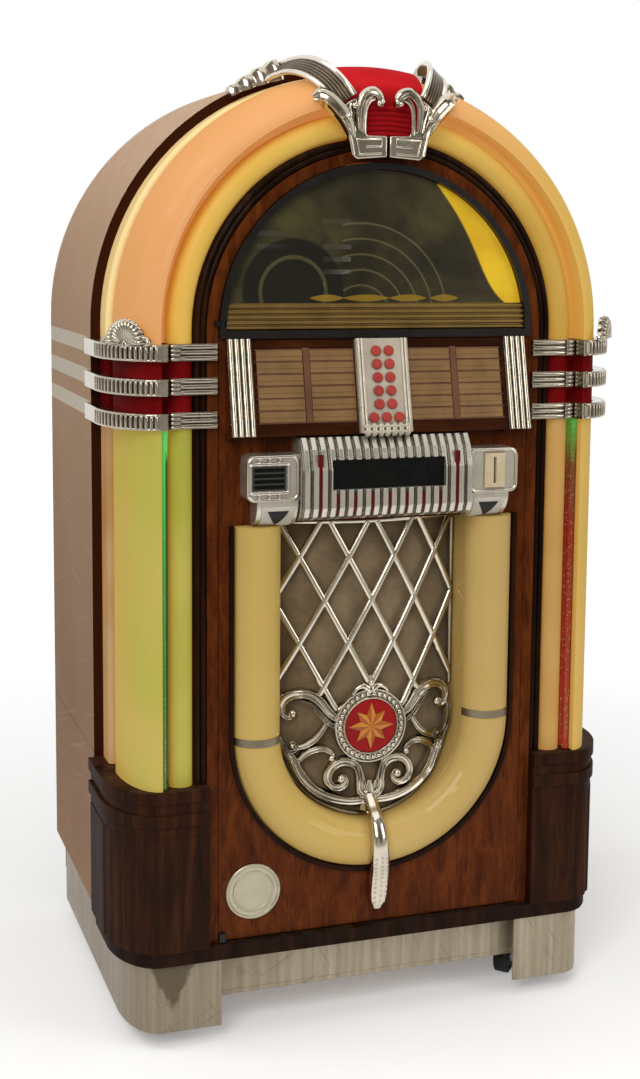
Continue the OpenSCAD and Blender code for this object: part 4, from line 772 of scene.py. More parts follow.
def addPiece(name, shape, material, body, sharp=35, bevel=0.0):
    mesh = bpy.data.meshes.new(name)
    mesh.from_pydata([tuple(point * mm) for point in shape["points"]], [], shape["faces"])
    mesh.materials.append(material)
    mesh.shade_smooth()
    mesh.set_sharp_from_angle(angle=math.radians(sharp))
    made = bpy.data.objects.new(name, mesh)
    scene.collection.objects.link(made)
    if bevel:
        rounding = made.modifiers.new("rounding", "BEVEL")
        rounding.width = bevel * mm
        rounding.segments = 3
        rounding.limit_method = "ANGLE"
    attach(made, body)
    return made


def halfRound(width, rise, sink=1.0, count=8):
    curve = [(width / 2 * math.cos(angle), rise * math.sin(angle)) for angle in arc(count, 0, 180)]
    return [(width / 2, -sink), *curve, (-width / 2, -sink)]


def rod(radius, count=10):
    return [(radius * math.cos(angle), radius * math.sin(angle)) for angle in arc(count, 0, 360)[:-1]]


def leafBar(width, rise, sink=2.0):
    half = width / 2
    right = [(half, -sink), (half, rise * 0.3), (half * 0.6, rise), (half * 0.18, rise * 0.5)]
    return right + [(-side, height) for side, height in reversed(right)]


def swelling(count, marks):
    sizes = []
    for step in range(count):
        place = step / (count - 1) * (len(marks) - 1)
        low = min(int(place), len(marks) - 2)
        sizes.append(marks[low] + (marks[low + 1] - marks[low]) * (place - low))
    return sizes


# Grille casting: bars, scrolls, beaded ring and tongue on the bulged front of the grille
grille = {"bulgeR": 343.3, "front": -241, "half": 156, "top": 832, "diamond": (77, 142), "node": (0, 699),
          "ring": (0, 490), "bar": (11.5, 5.5, 2.0), "edgeLow": 540, "edgeBar": (8, 4, 3), "topBar": (10, 5, 3),
          "barsEnd": [(0, 555), (40, 536), (60, 512), (74, 512), (92, 538), (110, 552), (160, 556)]}


def onGrille(x, z, lift=0.0):
    depth = grille["bulgeR"] - math.sqrt(grille["bulgeR"] ** 2 - min(abs(x), 200) ** 2)
    return Vector((x, grille["front"] + depth - lift, z))


def grillePath(points, lift):
    return [onGrille(point.x, point.z, lift) for point in smoothPath([(x, 0, z) for x, z in points])]


def armLevel(x):
    reach = abs(x)
    marks = grille["barsEnd"]
    for (first, low), (second, high) in zip(marks, marks[1:]):
        if reach <= second:
            return low + (high - low) * (reach - first) / (second - first)
    return marks[-1][1]


def latticeBars():
    shape = newShape()
    half, top = grille["half"], grille["top"]
    wideStep, tallStep = grille["diamond"]
    slope = tallStep / wideStep
    for lean in (1, -1):
        for number in range(-5, 6):
            run = []
            for step in range(-160, 161, 4):
                x = float(step)
                z = grille["node"][1] + lean * slope * (x - number * wideStep)
                if abs(x) < half and armLevel(x) < z < top:
                    run.append(onGrille(x, z, 0.6 if lean > 0 else 0.0))
            if len(run) > 2:
                sweep(shape, run, halfRound(*grille["bar"]))
    for edge in (-1, 1):
        upright = [onGrille(edge * (half - 2), z) for z in range(grille["edgeLow"], top + 1, 20)]
        sweep(shape, upright, halfRound(*grille["edgeBar"]))
    sweep(shape, [onGrille(x, top - 4) for x in range(-half, half + 1, 12)], halfRound(*grille["topBar"]))
    return shape


# Scrolls of the left half, each with its points, its width and how it swells
scroll = {
    "runs": [
        ([(-56, 504), (-70, 516), (-84, 534), (-100, 545), (-118, 547), (-134, 540), (-142, 527), (-139, 512),
          (-130, 508), (-124, 516)], 17, [0.9, 1.2, 1.15, 1.0, 0.8, 0.55]),
        ([(-60, 492), (-74, 501), (-86, 516), (-98, 529), (-112, 535)], 10, [1.0, 1.1, 0.8, 0.4]),
        ([(-68, 508), (-80, 487), (-92, 472), (-108, 462), (-128, 456)], 13, [0.8, 1.0, 1.1, 0.8]),
        ([(-147, 514), (-150, 494), (-147, 474), (-138, 456)], 10, [0.7, 1.1, 1.1, 0.9]),
        ([(-139, 461), (-130, 452), (-121, 455), (-121, 463), (-128, 466)], 8, [1.0, 1.0, 0.6]),
        ([(-138, 458), (-125, 438), (-117, 420), (-106, 402), (-88, 385), (-62, 372), (-34, 366), (-4, 366)], 18,
         [0.7, 1.0, 1.15, 1.05, 0.95, 0.9]),
        ([(-120, 430), (-108, 446), (-92, 455), (-76, 455), (-64, 446), (-65, 437)], 13, [0.6, 1.1, 1.1, 0.8, 0.5]),
        ([(-6, 370), (-18, 384), (-18, 404), (-22, 421), (-34, 431), (-51, 432), (-66, 422), (-71, 406), (-64, 393),
          (-50, 390), (-41, 398), (-45, 408), (-51, 405)], 16, [0.9, 1.0, 1.1, 1.1, 1.0, 0.8, 0.55]),
        ([(-27, 438), (-20, 424), (-14, 402), (-7, 380)], 11, [0.8, 1.0, 1.0, 0.7])],
    "beads": ((-126, 514, 7), (-49, 404, 7), (-65, 439, 5.5), (-126, 460, 5)),
    "lip": (152, 493), "drop": [(0, 350), (0, 366), (0, 384), (0, 398)]}


def scrollWork():
    shape = newShape()
    for points, width, marks in scroll["runs"]:
        path = grillePath(points, 1.5)
        sweep(shape, path, leafBar(width, 8.0), swelling(len(path), marks))
    for x, z, radius in scroll["beads"]:
        bead(shape, onGrille(x, z, 4), radius)
    addMirror(shape)
    radius, middle = scroll["lip"]
    lip = [onGrille(radius * math.cos(angle), middle + radius * math.sin(angle), -2) for angle in arc(60, 182, 358)]
    sweep(shape, lip, halfRound(7, 4, 3))
    sweep(shape, grillePath(scroll["drop"], 2), leafBar(28, 9, 3), [1.3 - 1.1 * step / 18 for step in range(19)])
    return shape


# Ring round the medallion, with its beads and the three leaves on top
ringTrim = {
    "profile": [(44.5, 0), (44.5, 9), (46, 11), (48, 9), (49, 6.5), (57.5, 6), (59, 8.5), (61, 8.5), (63, 4), (63, -6),
                (44.5, -6)],
    "beads": 34, "beadsAt": 53.3, "beadR": 4.2,
    "leaves": ([(0, 550), (0, 562), (0, 574)], [(0, 548), (-12, 556), (-24, 552), (-32, 540)],
               [(0, 548), (12, 556), (24, 552), (32, 540)])}


def beadedRing():
    shape = newShape()
    x, z = grille["ring"]
    turned(shape, (x, grille["front"] + 2, z), ringTrim["profile"])
    reach = ringTrim["beadsAt"]
    for step in range(ringTrim["beads"]):
        angle = 2 * math.pi * step / ringTrim["beads"]
        centre = (x + reach * math.cos(angle), grille["front"] - 4.5, z + reach * math.sin(angle))
        bead(shape, centre, ringTrim["beadR"])
    for points in ringTrim["leaves"]:
        path = grillePath(points, 3)
        sweep(shape, path, halfRound(11, 6, 3), [1.2 - 0.8 * step / (len(path) - 1) for step in range(len(path))])
    bead(shape, onGrille(0, 562, 7), 5.5)
    return shape


# Tongue that hangs over the cream tube
tongue = {
    "path": [(0, -244, 372), (0, -262, 357), (0, -283, 340), (0, -295, 319), (0, -297, 299), (2, -292, 279),
             (5, -284, 259), (6, -278, 238), (6, -274, 214), (6, -269, 191)],
    "half": 14.6,
    "marks": [0.74, 0.76, 0.78, 0.8, 0.8, 0.82, 0.86, 0.92, 0.99, 1.05, 1.08, 1.1, 1.1, 1.1, 1.08, 1.05, 0.95, 0.6],
    "section": [(1, -0.35), (1, 0.1), (0.9, 0.36), (0.7, 0.52), (0.38, 0.62), (0, 0.66), (-0.38, 0.62), (-0.7, 0.52),
                (-0.9, 0.36), (-1, 0.1), (-1, -0.35)],
    "beads": ((-1, 0.56), (0, 0.66), (1, 0.56)), "beadR": 2.6, "beadSink": 1.2}


def leafTongue():
    shape = newShape()
    path = smoothPath(tongue["path"], 8)
    lobes = [tongue["half"] * size for size in swelling(len(path), tongue["marks"])]
    fronts = []
    for place in range(len(path)):
        ahead = path[min(place + 1, len(path) - 1)] - path[max(place - 1, 0)]
        fronts.append(Vector((0, ahead.z, -ahead.y)).normalized())
    sweep(shape, path, tongue["section"], lobes, fronts)
    for place in range(len(path) // 2, len(path) - 6, 3):
        for side, rise in tongue["beads"]:
            row = place + abs(side)
            out = fronts[row] * (rise * lobes[row] - tongue["beadSink"])
            bead(shape, path[row] + Vector((side * 0.55 * lobes[row], 0, 0)) + out, tongue["beadR"])
    return shape


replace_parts(addPiece("latticeBars", latticeBars(), castChrome, "door"), "grille_casting")
for name, make in (("scrollWork", scrollWork), ("beadedRing", beadedRing), ("leafTongue", leafTongue)):
    addPiece(name, make(), castChrome, "door")
print("grille casting made")


# Medallion: an eight-point star of light and dark facets on the red disc
starPaint = {"light": (tone(222, 150, 70), tone(204, 128, 54)), "dark": (tone(188, 104, 44), tone(168, 86, 36)),
             "long": 39, "short": 34, "waist": 19.5, "rise": 3.0, "lift": 7.5}


def starFacets(parity):
    shape = newShape()
    x, z = grille["ring"]
    front = grille["front"] - starPaint["lift"]
    for point in range(8):
        angle = math.pi / 4 * point + math.pi / 2
        reach = starPaint["long"] if point % 2 == 0 else starPaint["short"]
        tip = Vector((x + reach * math.cos(angle), front, z + reach * math.sin(angle)))
        turn = angle + (math.pi / 8 if parity else -math.pi / 8)
        waist = Vector((x + starPaint["waist"] * math.cos(turn), front, z + starPaint["waist"] * math.sin(turn)))
        middle = Vector((x, front - starPaint["rise"], z))
        start = len(shape["points"])
        near, far = (tip, waist) if parity else (waist, tip)
        shape["points"] += [middle, near, far]
        shape["points"] += [corner + Vector((0, depth, 0)) for corner, depth in ((middle, 6), (near, 3), (far, 3))]
        addFaces(shape, start, ((0, 1, 2), (5, 4, 3), (0, 3, 4, 1), (1, 4, 5, 2), (2, 5, 3, 0)))
    return shape


for parity, shade in enumerate(("light", "dark")):
    enamel = plasticMaterial("star" + shade.capitalize(), *starPaint[shade], 0.2, 0.3)
    addPiece("star" + shade.capitalize(), starFacets(parity), enamel, "door", 10)
medallionRed = plasticMaterial("medallionRed", tone(168, 16, 20), tone(146, 12, 16), 0.2, 0.3, 0.0)
dress(medallionRed, "medallion")
print("medallion made")


# Crown: cast faces with leaf wings, curls beside the window, reeded straps over the arch and lobed tails
crown = {
    "archZ": 1133, "front": -294, "back": -283,
    "outline": [(2, 1399), (28, 1397), (51, 1395), (57, 1399), (60, 1411), (63, 1428), (68, 1442), (75, 1453),
                (79, 1463), (73, 1472), (66, 1480), (57, 1485), (46, 1486), (40, 1480), (39, 1440), (34, 1431),
                (2, 1431)],
    "ridges": [([(12, 1404), (48, 1402), (53, 1425), (12, 1426), (12, 1415), (38, 1414)], 5.0),
               ([(57, 1401), (60, 1417), (64, 1434), (71, 1449), (77, 1461)], 6.0),
               ([(45, 1436), (46, 1456), (45, 1476)], 6.0), ([(55, 1436), (58, 1453), (64, 1468), (62, 1478)], 6.5)],
    "curl": [(47, -2, 1438), (48, -3, 1458), (47, -4, 1475), (41, -4, 1488), (31, -3, 1495), (21, -1, 1493),
             (15, 1, 1484), (14, 2, 1475)],
    "stem": [(40, 0, 1433), (40, 0, 1455), (38, -1, 1472), (32, -1, 1482), (24, -1, 1485)],
    "wing": [(58, 2, 1426), (67, 0, 1448), (79, 2, 1467), (93, 6, 1481), (106, 12, 1489), (116, 18, 1486)],
    "beads": ((18, 1479, 4.5), (12, 1482, 4), (66, 1458, 6), (57, 1474, 5))}
strap = {"middle": 344, "rise": 83, "reach": 130, "y": -160, "turn": 82, "steps": 24, "from": 11.2, "spread": 5.0,
         "end": ((16.6, 427.0, -145), (17.2, 426.5, -130), (18.2, 425, -116), (19.4, 422, -106)),
         "half": 16, "thick": 4, "base": 1, "ridges": 6, "pitch": 5, "firstRidge": 12.5, "ridge": (2.2, 1.0, 2.8),
         "railR": 4.6, "railOut": 0.5, "faceY": -175, "faceZ": 300}
tail = {"radius": 419, "y": -102, "from": 16.5, "long": 12.0, "steps": 44, "bar": (38, 17, 6),
        "lobes": 3.5, "firstLobe": 0.7, "waist": 0.82, "bulge": 0.24, "start": 1.45, "taper": 0.85}
strapMetal = metalMaterial("strapMetal", tone(126, 112, 96), tone(84, 72, 58), 0.28, 0.45, 0.9)


def onArch(degrees, radius, y):
    angle = math.radians(degrees)
    return Vector((radius * math.sin(angle), y, crown["archZ"] + radius * math.cos(angle)))


def crownFace():
    shape = newShape()
    extruded(shape, crown["outline"], crown["front"], crown["back"])
    return shape


def crownRelief():
    shape = newShape()
    front = crown["front"] + 0.5
    for points, width in crown["ridges"]:
        sweep(shape, [Vector((x, front, z)) for x, z in points], halfRound(width, width * 0.6, 1.0))
    for name, bar, marks in (("curl", leafBar(17, 8, 4), [0.6, 0.85, 1.0, 1.05, 1.05, 1.0, 0.9, 0.6]),
                             ("stem", rod(4.2), [0.9, 1.0, 1.0, 0.6]),
                             ("wing", leafBar(27, 11, 5), [0.4, 0.8, 1.05, 1.1, 0.9, 0.4])):
        path = smoothPath([(x, front + lift, z) for x, lift, z in crown[name]])
        sweep(shape, path, bar, swelling(len(path), marks))
    for x, z, radius in crown["beads"]:
        bead(shape, (x, front - 4, z), radius)
    return shape


def strapPath():
    path = []
    for step in range(strap["steps"] + 1):
        share = step / strap["steps"]
        t = math.radians(strap["turn"] - strap["turn"] * step / strap["steps"])
        radius = strap["middle"] + strap["rise"] * math.cos(t)
        y = strap["y"] - strap["reach"] * math.sin(t)
        path.append(onArch(strap["from"] + strap["spread"] * share ** 0.9, radius, y))
    return path + [onArch(*place) for place in strap["end"]]


def strapFronts(path):
    fronts = []
    for point in path:
        forward = min(0, point.y - strap["faceY"]) * 1.9 - 1
        fronts.append(Vector((point.x * 0.9, forward, point.z - crown["archZ"] - strap["faceZ"])).normalized())
    return fronts


def strapBand():
    shape = newShape()
    path = strapPath()
    half, base = strap["half"], strap["base"]
    wide, narrow, rise = strap["ridge"]
    section = [(half, -strap["thick"]), (half, base)]
    for ridge in range(strap["ridges"]):
        middle = strap["firstRidge"] - ridge * strap["pitch"]
        section += [(middle + wide, base), (middle + narrow, rise), (middle - narrow, rise), (middle - wide, base)]
    section += [(-half, base), (-half, -strap["thick"])]
    sweep(shape, path, section, None, strapFronts(path))
    return shape


def strapRails():
    shape = newShape()
    path = strapPath()
    offset = strap["half"] + strap["railOut"]
    for across in (offset, -offset):
        rail = [(across + s, h + strap["base"]) for s, h in rod(strap["railR"])]
        sweep(shape, path, rail, None, strapFronts(path))
    return shape


def crownTail():
    shape = newShape()
    steps = tail["steps"]
    path = [onArch(tail["from"] + tail["long"] * step / steps, tail["radius"], tail["y"]) for step in range(steps + 1)]
    fronts = [(point - Vector((0, point.y, crown["archZ"]))).normalized() for point in path]
    sizes = []
    for step in range(steps + 1):
        wave = abs(math.sin(step / steps * math.pi * tail["lobes"] + tail["firstLobe"]))
        sizes.append((tail["waist"] + tail["bulge"] * wave) * (tail["start"] - tail["taper"] * step / steps))
    sweep(shape, path, leafBar(*tail["bar"]), sizes, fronts)
    return shape


def addPairs(makers, sharp):
    pieces = []
    for label in ("Right", "Left"):
        for name, make, metal, bevel in makers:
            shape = flipped(make()) if label == "Left" else make()
            pieces.append(addPiece(name + label, shape, metal, "cabinet", sharp, bevel))
    return pieces


crownPieces = addPairs(
    [("crownFace", crownFace, castChrome, 2.2), ("crownRelief", crownRelief, castChrome, 0),
     ("strapBand", strapBand, strapMetal, 0), ("strapRails", strapRails, chrome, 0),
     ("crownTail", crownTail, shadedChrome, 0)], 40)
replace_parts(crownPieces[0], "crown_castings")
print("crown made")


# Fan ribs on the crests of the top bands
crest = {"place": (395.5, -247.7, 1114), "turn": 55.5, "ribs": 15, "thick": 10.2, "fan": (8, 164),
         "rib": ((9, -0.5), (14, 0.5), (22, 3.0), (29, 4.0), (34, 1.0), (36, -4), (35, -9)),
         "ribSizes": [0.35, 0.55, 0.8, 0.96, 1.0, 0.95, 0.9],
         "curl": ((26, 2), (33, 9), (41, 10), (46, 4), (41, 1), (37, 4)), "curlBack": 4,
         "ribBar": (7.6, 4.2, 1.0), "curlBar": (7, 4, 3), "bossR": 7, "boss": (-3, 0.5, 2, 2.6)}


def fanRibs():
    shape = newShape()
    turn = math.radians(crest["turn"])
    level = Vector((math.cos(turn), math.sin(turn), 0))
    out = Vector((math.sin(turn), -math.cos(turn), 0))
    middle = Vector(crest["place"]) + out * crest["thick"]
    first, sweepAngle = crest["fan"]
    for rib in range(crest["ribs"]):
        angle = math.radians(first + sweepAngle * rib / (crest["ribs"] - 1))
        ray = level * math.cos(angle) + Vector((0, 0, math.sin(angle)))
        path = [middle + ray * radius + out * rise for radius, rise in crest["rib"]]
        sweep(shape, path, halfRound(*crest["ribBar"]), crest["ribSizes"], tuple(out))
    for side in (-1, 1):
        curl = smoothPath([middle + level * side * reach + Vector((0, 0, lift)) - out * crest["curlBack"]
                           for reach, lift in crest["curl"]])
        sweep(shape, curl, halfRound(*crest["curlBar"]), swelling(len(curl), [0.7, 1.1, 1.0, 0.7]), tuple(out))
    boss = [middle + out * rise for rise in crest["boss"]]
    sweep(shape, boss, rod(crest["bossR"], 18), [1.0, 0.9, 0.6, 0.2], (0, 0, 1))
    return shape


addPairs([("fanRibs", fanRibs, shadedChrome, 0)], 50)
print("crests made")


# Trim on the chrome bands: ribs and rails round the column, fins at the knuckle and reeds on the arm
band = {"levels": (1089.6, 1037.9, 986.2), "tall": 25.4, "centre": (352, -160), "reach": (78, 126), "ribs": 16,
        "first": 1.7, "step": 5.4, "knuckle": (323, 336, -271.4), "fins": 4, "arm": (264, 322, -270), "reeds": 3,
        "ribBar": (5.4, 2.2, 1.5), "ribEnds": ((1.5, -0.8), (4, 0.4)), "rail": 1.9, "railBar": (3.6, 1.8, 1.0),
        "finBar": (4.8, 2.6, 1.0), "reedBar": (7.2, 3.0, 0.8)}


def onBand(degrees, height, rise=0.0):
    angle = math.radians(degrees)
    wide, deep = band["reach"]
    out = Vector((math.cos(angle) / wide, -math.sin(angle) / deep, 0)).normalized()
    place = Vector((band["centre"][0] + wide * math.cos(angle), band["centre"][1] - deep * math.sin(angle), height))
    return place + out * rise, out


def bandTrim():
    shape = newShape()
    for low in band["levels"]:
        high = low + band["tall"]
        for rib in range(band["ribs"]):
            degrees = band["first"] + band["step"] * rib
            path = [onBand(degrees, low + inset, rise)[0] for inset, rise in band["ribEnds"]]
            path += [onBand(degrees, high - inset, rise)[0] for inset, rise in reversed(band["ribEnds"])]
            sweep(shape, path, halfRound(*band["ribBar"]), None, [onBand(degrees, low)[1]] * len(path))
        for height in (low + band["rail"], high - band["rail"]):
            places, fronts = zip(*[onBand(2 + 86 * step / 30, height) for step in range(31)])
            sweep(shape, places, halfRound(*band["railBar"]), None, list(fronts))
        inner, outer, front = band["knuckle"]
        for fin in range(band["fins"]):
            height = low + band["tall"] * (fin + 0.5) / band["fins"]
            path = [(outer, front + 1, height), (outer - 5, front - 1.5, height), (inner, front, height)]
            sweep(shape, path, halfRound(*band["finBar"]))
        inner, outer, front = band["arm"]
        for reed in range(band["reeds"]):
            height = low + band["tall"] * (reed + 0.5) / band["reeds"]
            path = [(outer - (outer - inner) * step / 8, front, height) for step in range(9)]
            sweep(shape, path, halfRound(*band["reedBar"]), [0.5, 0.9, 1, 1, 1, 1, 1, 0.9, 0.6])
    return shape


addPairs([("bandTrim", bandTrim, shadedChrome, 0)], 45)
print("bands trimmed")


# Lit bubble bars in the gaps of the columns, with a ferrule at each end
bubble = {"x": 345.5, "y": -262, "radius": 5.6, "low": 425, "high": 985, "ferrule": 8, "ferruleSize": 1.1}
low, high, ferrule = bubble["low"], bubble["high"], bubble["ferrule"]
heights = [low, low + ferrule, low + ferrule + 1, *range(low + 20, high - 20, 20),
           high - ferrule - 1, high - ferrule, high]
ends = [bubble["ferruleSize"]] * 2
sizes = ends + [1.0] * (len(heights) - 4) + ends
shape = newShape()
for side in (-1, 1):
    path = [(side * bubble["x"], bubble["y"], height) for height in heights]
    sweep(shape, path, rod(bubble["radius"], 18), sizes)
addPiece("bubbleBars", shape, nodes["bubble_tubes"].data.materials[0], "cabinet", 40)
print("bubble bars made")


# Blank title cards in the tilted rack, in two columns on each side of the keypad, with bars between them
rack = {"low": (-296.74, 973.84), "tilt": 13, "rows": 6, "rowStep": 19.0, "first": 21.5, "card": 16.8,
        "columns": ((45.5, 117), (129, 203)), "divider": (118, 128), "dividerEnds": (20.5, 136.5),
        "rail": (44.5, 206), "railTall": 1.6, "railDrop": 2.2}
boxFaces = ((0, 1, 2, 3), (7, 6, 5, 4), (0, 4, 5, 1), (1, 5, 6, 2), (2, 6, 7, 3), (3, 7, 4, 0))


def onRack(x, along, lift):
    lean = math.radians(rack["tilt"])
    y, z = rack["low"]
    sine, cosine = math.sin(lean), math.cos(lean)
    return Vector((x, y + along * sine - lift * cosine, z + along * cosine + lift * sine))


def rackPlate(shape, x0, x1, low, high, lift, thick):
    start = len(shape["points"])
    corners = ((x0, low), (x1, low), (x1, high), (x0, high))
    for level in (lift, lift - thick):
        shape["points"] += [onRack(x, along, level) for x, along in corners]
    addFaces(shape, start, boxFaces)


def titleCards():
    shape = newShape()
    for side in (-1, 1):
        for column in rack["columns"]:
            ends = sorted(side * x for x in column)
            for row in range(rack["rows"]):
                start = rack["first"] + row * rack["rowStep"]
                rackPlate(shape, *ends, start, start + rack["card"], 0.2, 1.4)
                rackPlate(shape, *ends, start + rack["card"] * 0.42, start + rack["card"] * 0.58, 0.8, 0.8)
    return shape


def rackDividers():
    shape = newShape()
    for side in (-1, 1):
        rackPlate(shape, *sorted(side * x for x in rack["divider"]), *rack["dividerEnds"], 1.2, 2.2)
        for row in range(rack["rows"] + 1):
            start = rack["first"] + row * rack["rowStep"] - rack["railDrop"]
            rackPlate(shape, *sorted(side * x for x in rack["rail"]), start, start + rack["railTall"], 0.9, 1.8)
    return shape


cardPaper = plasticMaterial("cardPaper", tone(152, 116, 72), tone(124, 92, 56), 0.45, 0.6, 0.0)
dividerPaint = plasticMaterial("dividerPaint", tone(122, 80, 54), tone(100, 62, 42), 0.45, 0.6, 0.0)
addPiece("titleCards", titleCards(), cardPaper, "door", 20)
addPiece("rackDividers", rackDividers(), dividerPaint, "door", 20)


# Ribbed foot of the keypad plate
foot = {"ribs": range(-33, 34, 11), "rib": ((-3, 7), (-1, 11), (4, 12.5), (12, 12), (15, 9)),
        "ribBar": (9.5, 4.0, 3.0), "rails": (1.5, 9.5), "railLift": 13, "railBar": (5, 3.0, 3.0)}


def keypadFoot():
    shape = newShape()
    for x in foot["ribs"]:
        path = [onRack(x, along, lift) for along, lift in foot["rib"]]
        sweep(shape, path, halfRound(*foot["ribBar"]), [0.8, 1.0, 1.0, 0.95, 0.7])
    for along in foot["rails"]:
        rail = [onRack(x, along, foot["railLift"]) for x in range(-41, 42, 6)]
        sweep(shape, rail, halfRound(*foot["railBar"]))
    return shape


addPiece("keypadFoot", keypadFoot(), nodes["keypad_plate"].data.materials[0], "door", 40)
print("title rack filled")


# Console: dark red light slots, rims round both boxes and the louvres, and plates on the round brackets
consoleSpot = {"front": -318.4, "pitch": 28.4, "slots": 7, "slotW": 9.0, "high": 884, "tallX": 113.6, "tallHigh": 946,
               "slotFoot": ((0, 864), (2.4, 856), (6.5, 850)), "boxFront": -300, "boxMid": 909.8,
               "boxX": 184, "boxRim": (39.5, 33.5, 11), "insertX": -190, "insertRim": (30.5, 22.5, 4),
               "lugs": (-206, -190, -174), "lugEnds": ((930, 943), (876, 889)),
               "boxBar": (5.5, 3.2, 1.0), "insertBar": (6, 3.6, 1.0), "lugBar": (5, 2.6, 1.0),
               "bracketX": 176, "bracket": (-261, 873.8, 42)}
slotRed = plasticMaterial("slotRed", tone(104, 8, 12), tone(80, 5, 9), 0.2, 0.3)


def lightSlots():
    shape = newShape()
    places = [((step - 3) * consoleSpot["pitch"], consoleSpot["high"]) for step in range(consoleSpot["slots"])]
    places += [(side * consoleSpot["tallX"], consoleSpot["tallHigh"]) for side in (-1, 1)]
    half, front = consoleSpot["slotW"] / 2, consoleSpot["front"]
    for x, high in places:
        path = [(x, front, high)] + [(x, front + back, height) for back, height in consoleSpot["slotFoot"]]
        sweep(shape, path, [(half, -5), (half, 0), (-half, 0), (-half, -5)])
    return shape


def roundedRing(x, z, halfWide, halfTall, radius, y):
    path = []
    for turn, (sideX, sideZ) in enumerate(((1, 1), (-1, 1), (-1, -1), (1, -1))):
        middle = (x + sideX * (halfWide - radius), z + sideZ * (halfTall - radius))
        for angle in arc(6, 90 * turn, 90 * turn + 90):
            path.append(Vector((middle[0] + radius * math.cos(angle), y, middle[1] + radius * math.sin(angle))))
    return path


def boxBezels():
    shape = newShape()
    front, middle = consoleSpot["boxFront"], consoleSpot["boxMid"]
    for side in (-1, 1):
        rim = roundedRing(side * consoleSpot["boxX"], middle, *consoleSpot["boxRim"], front)
        sweep(shape, rim, halfRound(*consoleSpot["boxBar"]), closed=True)
    rim = roundedRing(consoleSpot["insertX"], middle, *consoleSpot["insertRim"], front)
    sweep(shape, rim, halfRound(*consoleSpot["insertBar"]), closed=True)
    for x in consoleSpot["lugs"]:
        for low, high in consoleSpot["lugEnds"]:
            path = [(x, front + 0.5, low), (x, front - 1.5, (low + high) / 2), (x, front + 0.5, high)]
            sweep(shape, path, halfRound(*consoleSpot["lugBar"]))
    return shape


def onBracket(x, degrees, rise):
    y, z, radius = consoleSpot["bracket"]
    angle = math.radians(degrees)
    return Vector((x, y - (radius + rise) * math.cos(angle), z - (radius + rise) * math.sin(angle)))


def bracketLabels(first, last, wide, narrow, rise):
    shape = newShape()
    steps = 12
    for side in (-1, 1):
        start = len(shape["points"])
        for step in range(steps + 1):
            degrees = first + (last - first) * step / steps
            half = wide + (narrow - wide) * step / steps
            corners = ((-half, -0.5), (-half, rise), (half, rise), (half, -0.5))
            shape["points"] += [onBracket(side * consoleSpot["bracketX"] + x, degrees, lift) for x, lift in corners]
        for step in range(steps):
            row = start + step * 4
            addFaces(shape, row, ((0, 4, 5, 1), (1, 5, 6, 2), (2, 6, 7, 3), (3, 7, 4, 0)))
        addFaces(shape, start, ((0, 1, 2, 3), [steps * 4 + corner for corner in (3, 2, 1, 0)]))
    return shape


addPiece("lightSlots", lightSlots(), slotRed, "door", 20)
addPiece("boxBezels", boxBezels(), chrome, "door", 45)
addPiece("bracketPlates", bracketLabels(10, 78, 27, 24, 1.0), whitePaint, "door", 30)
addPiece("bracketMarks", bracketLabels(20, 62, 17, 0.6, 1.6), blackPlastic, "door", 30)
print("console fitted")


# Moulded face of the plinth's raised strip, which runs on behind both feet
strip = {"half": 276, "front": -235.6, "back": -233, "low": 60.5, "high": 137.5, "lip": 13, "groove": 2.2, "foot": 7}


def stripFace():
    shape = newShape()
    front, back, low, high = strip["front"], strip["back"], strip["low"], strip["high"]
    step, groove, wide = low + strip["foot"], high - strip["lip"], strip["groove"]
    edge = [(back, low), (front + 1.2, low), (front + 1.2, step), (front, step + 1.5), (front, groove - wide),
            (front + 2, groove - wide / 2), (front, groove), (front, high), (back, high)]
    sweep(shape, [(x, 0, 0) for x in (-strip["half"], -90, 90, strip["half"])], [(-z, -y) for y, z in edge])
    return shape


addPiece("stripFace", stripFace(), nodes["plinth"].data.materials[0], "cabinet", 20)
print("plinth strip made")


# Plain round badge on the veneer and the clips round the cream tube
badge = {"place": (-203, -261, 241),
         "profile": [(0.01, 2.4), (30, 2.4), (31, 3.4), (33, 3.4), (34, 2.2), (40, 2.2), (41.5, 4.0), (44, 4.0),
                     (45.5, 2.6), (45.5, -0.6), (0.01, -0.6)]}
shape = newShape()
turned(shape, badge["place"], badge["profile"], 72)
badgeMetal = metalMaterial("badgeMetal", tone(192, 184, 162), tone(156, 148, 126), 0.3, 0.45, 0.7)
addPiece("roundBadge", shape, badgeMetal, "door", 30)

clip = {"x": 197, "y": -250, "radius": 39.4, "width": 12, "rise": 0.9, "sink": 0.3, "heights": {-1: 490, 1: 503}}
half, rise, sink = clip["width"] / 2, clip["rise"], clip["sink"]
shape = newShape()
for side, height in clip["heights"].items():
    middle = Vector((side * clip["x"], clip["y"], height))
    fronts = [Vector((math.cos(angle), -math.sin(angle), 0)) for angle in arc(24, 4, 176)]
    path = [middle + front * clip["radius"] for front in fronts]
    sweep(shape, path, [(half, -sink), (half, rise), (-half, rise), (-half, -sink)], None, fronts)
clipMetal = metalMaterial("clipMetal", tone(150, 138, 116), tone(118, 106, 86), 0.35, 0.5, 0.4)
addPiece("tubeClips", shape, clipMetal, "door", 30)

# Closed tops of the cream tube
cap = {"heights": (822, 829, 831.4, 832.4), "sizes": (0.95, 1.0, 0.99, 0.94), "radius": 38.7}
shape = newShape()
halfDisc = [(cap["radius"] * math.cos(angle), cap["radius"] * math.sin(angle)) for angle in arc(28, -12, 192)]
for side in (-1, 1):
    sweep(shape, [(side * clip["x"], clip["y"], height) for height in cap["heights"]], halfDisc, cap["sizes"])
addPiece("tubeCaps", shape, grilleLit, "door", 40)
print("badge and clips made")


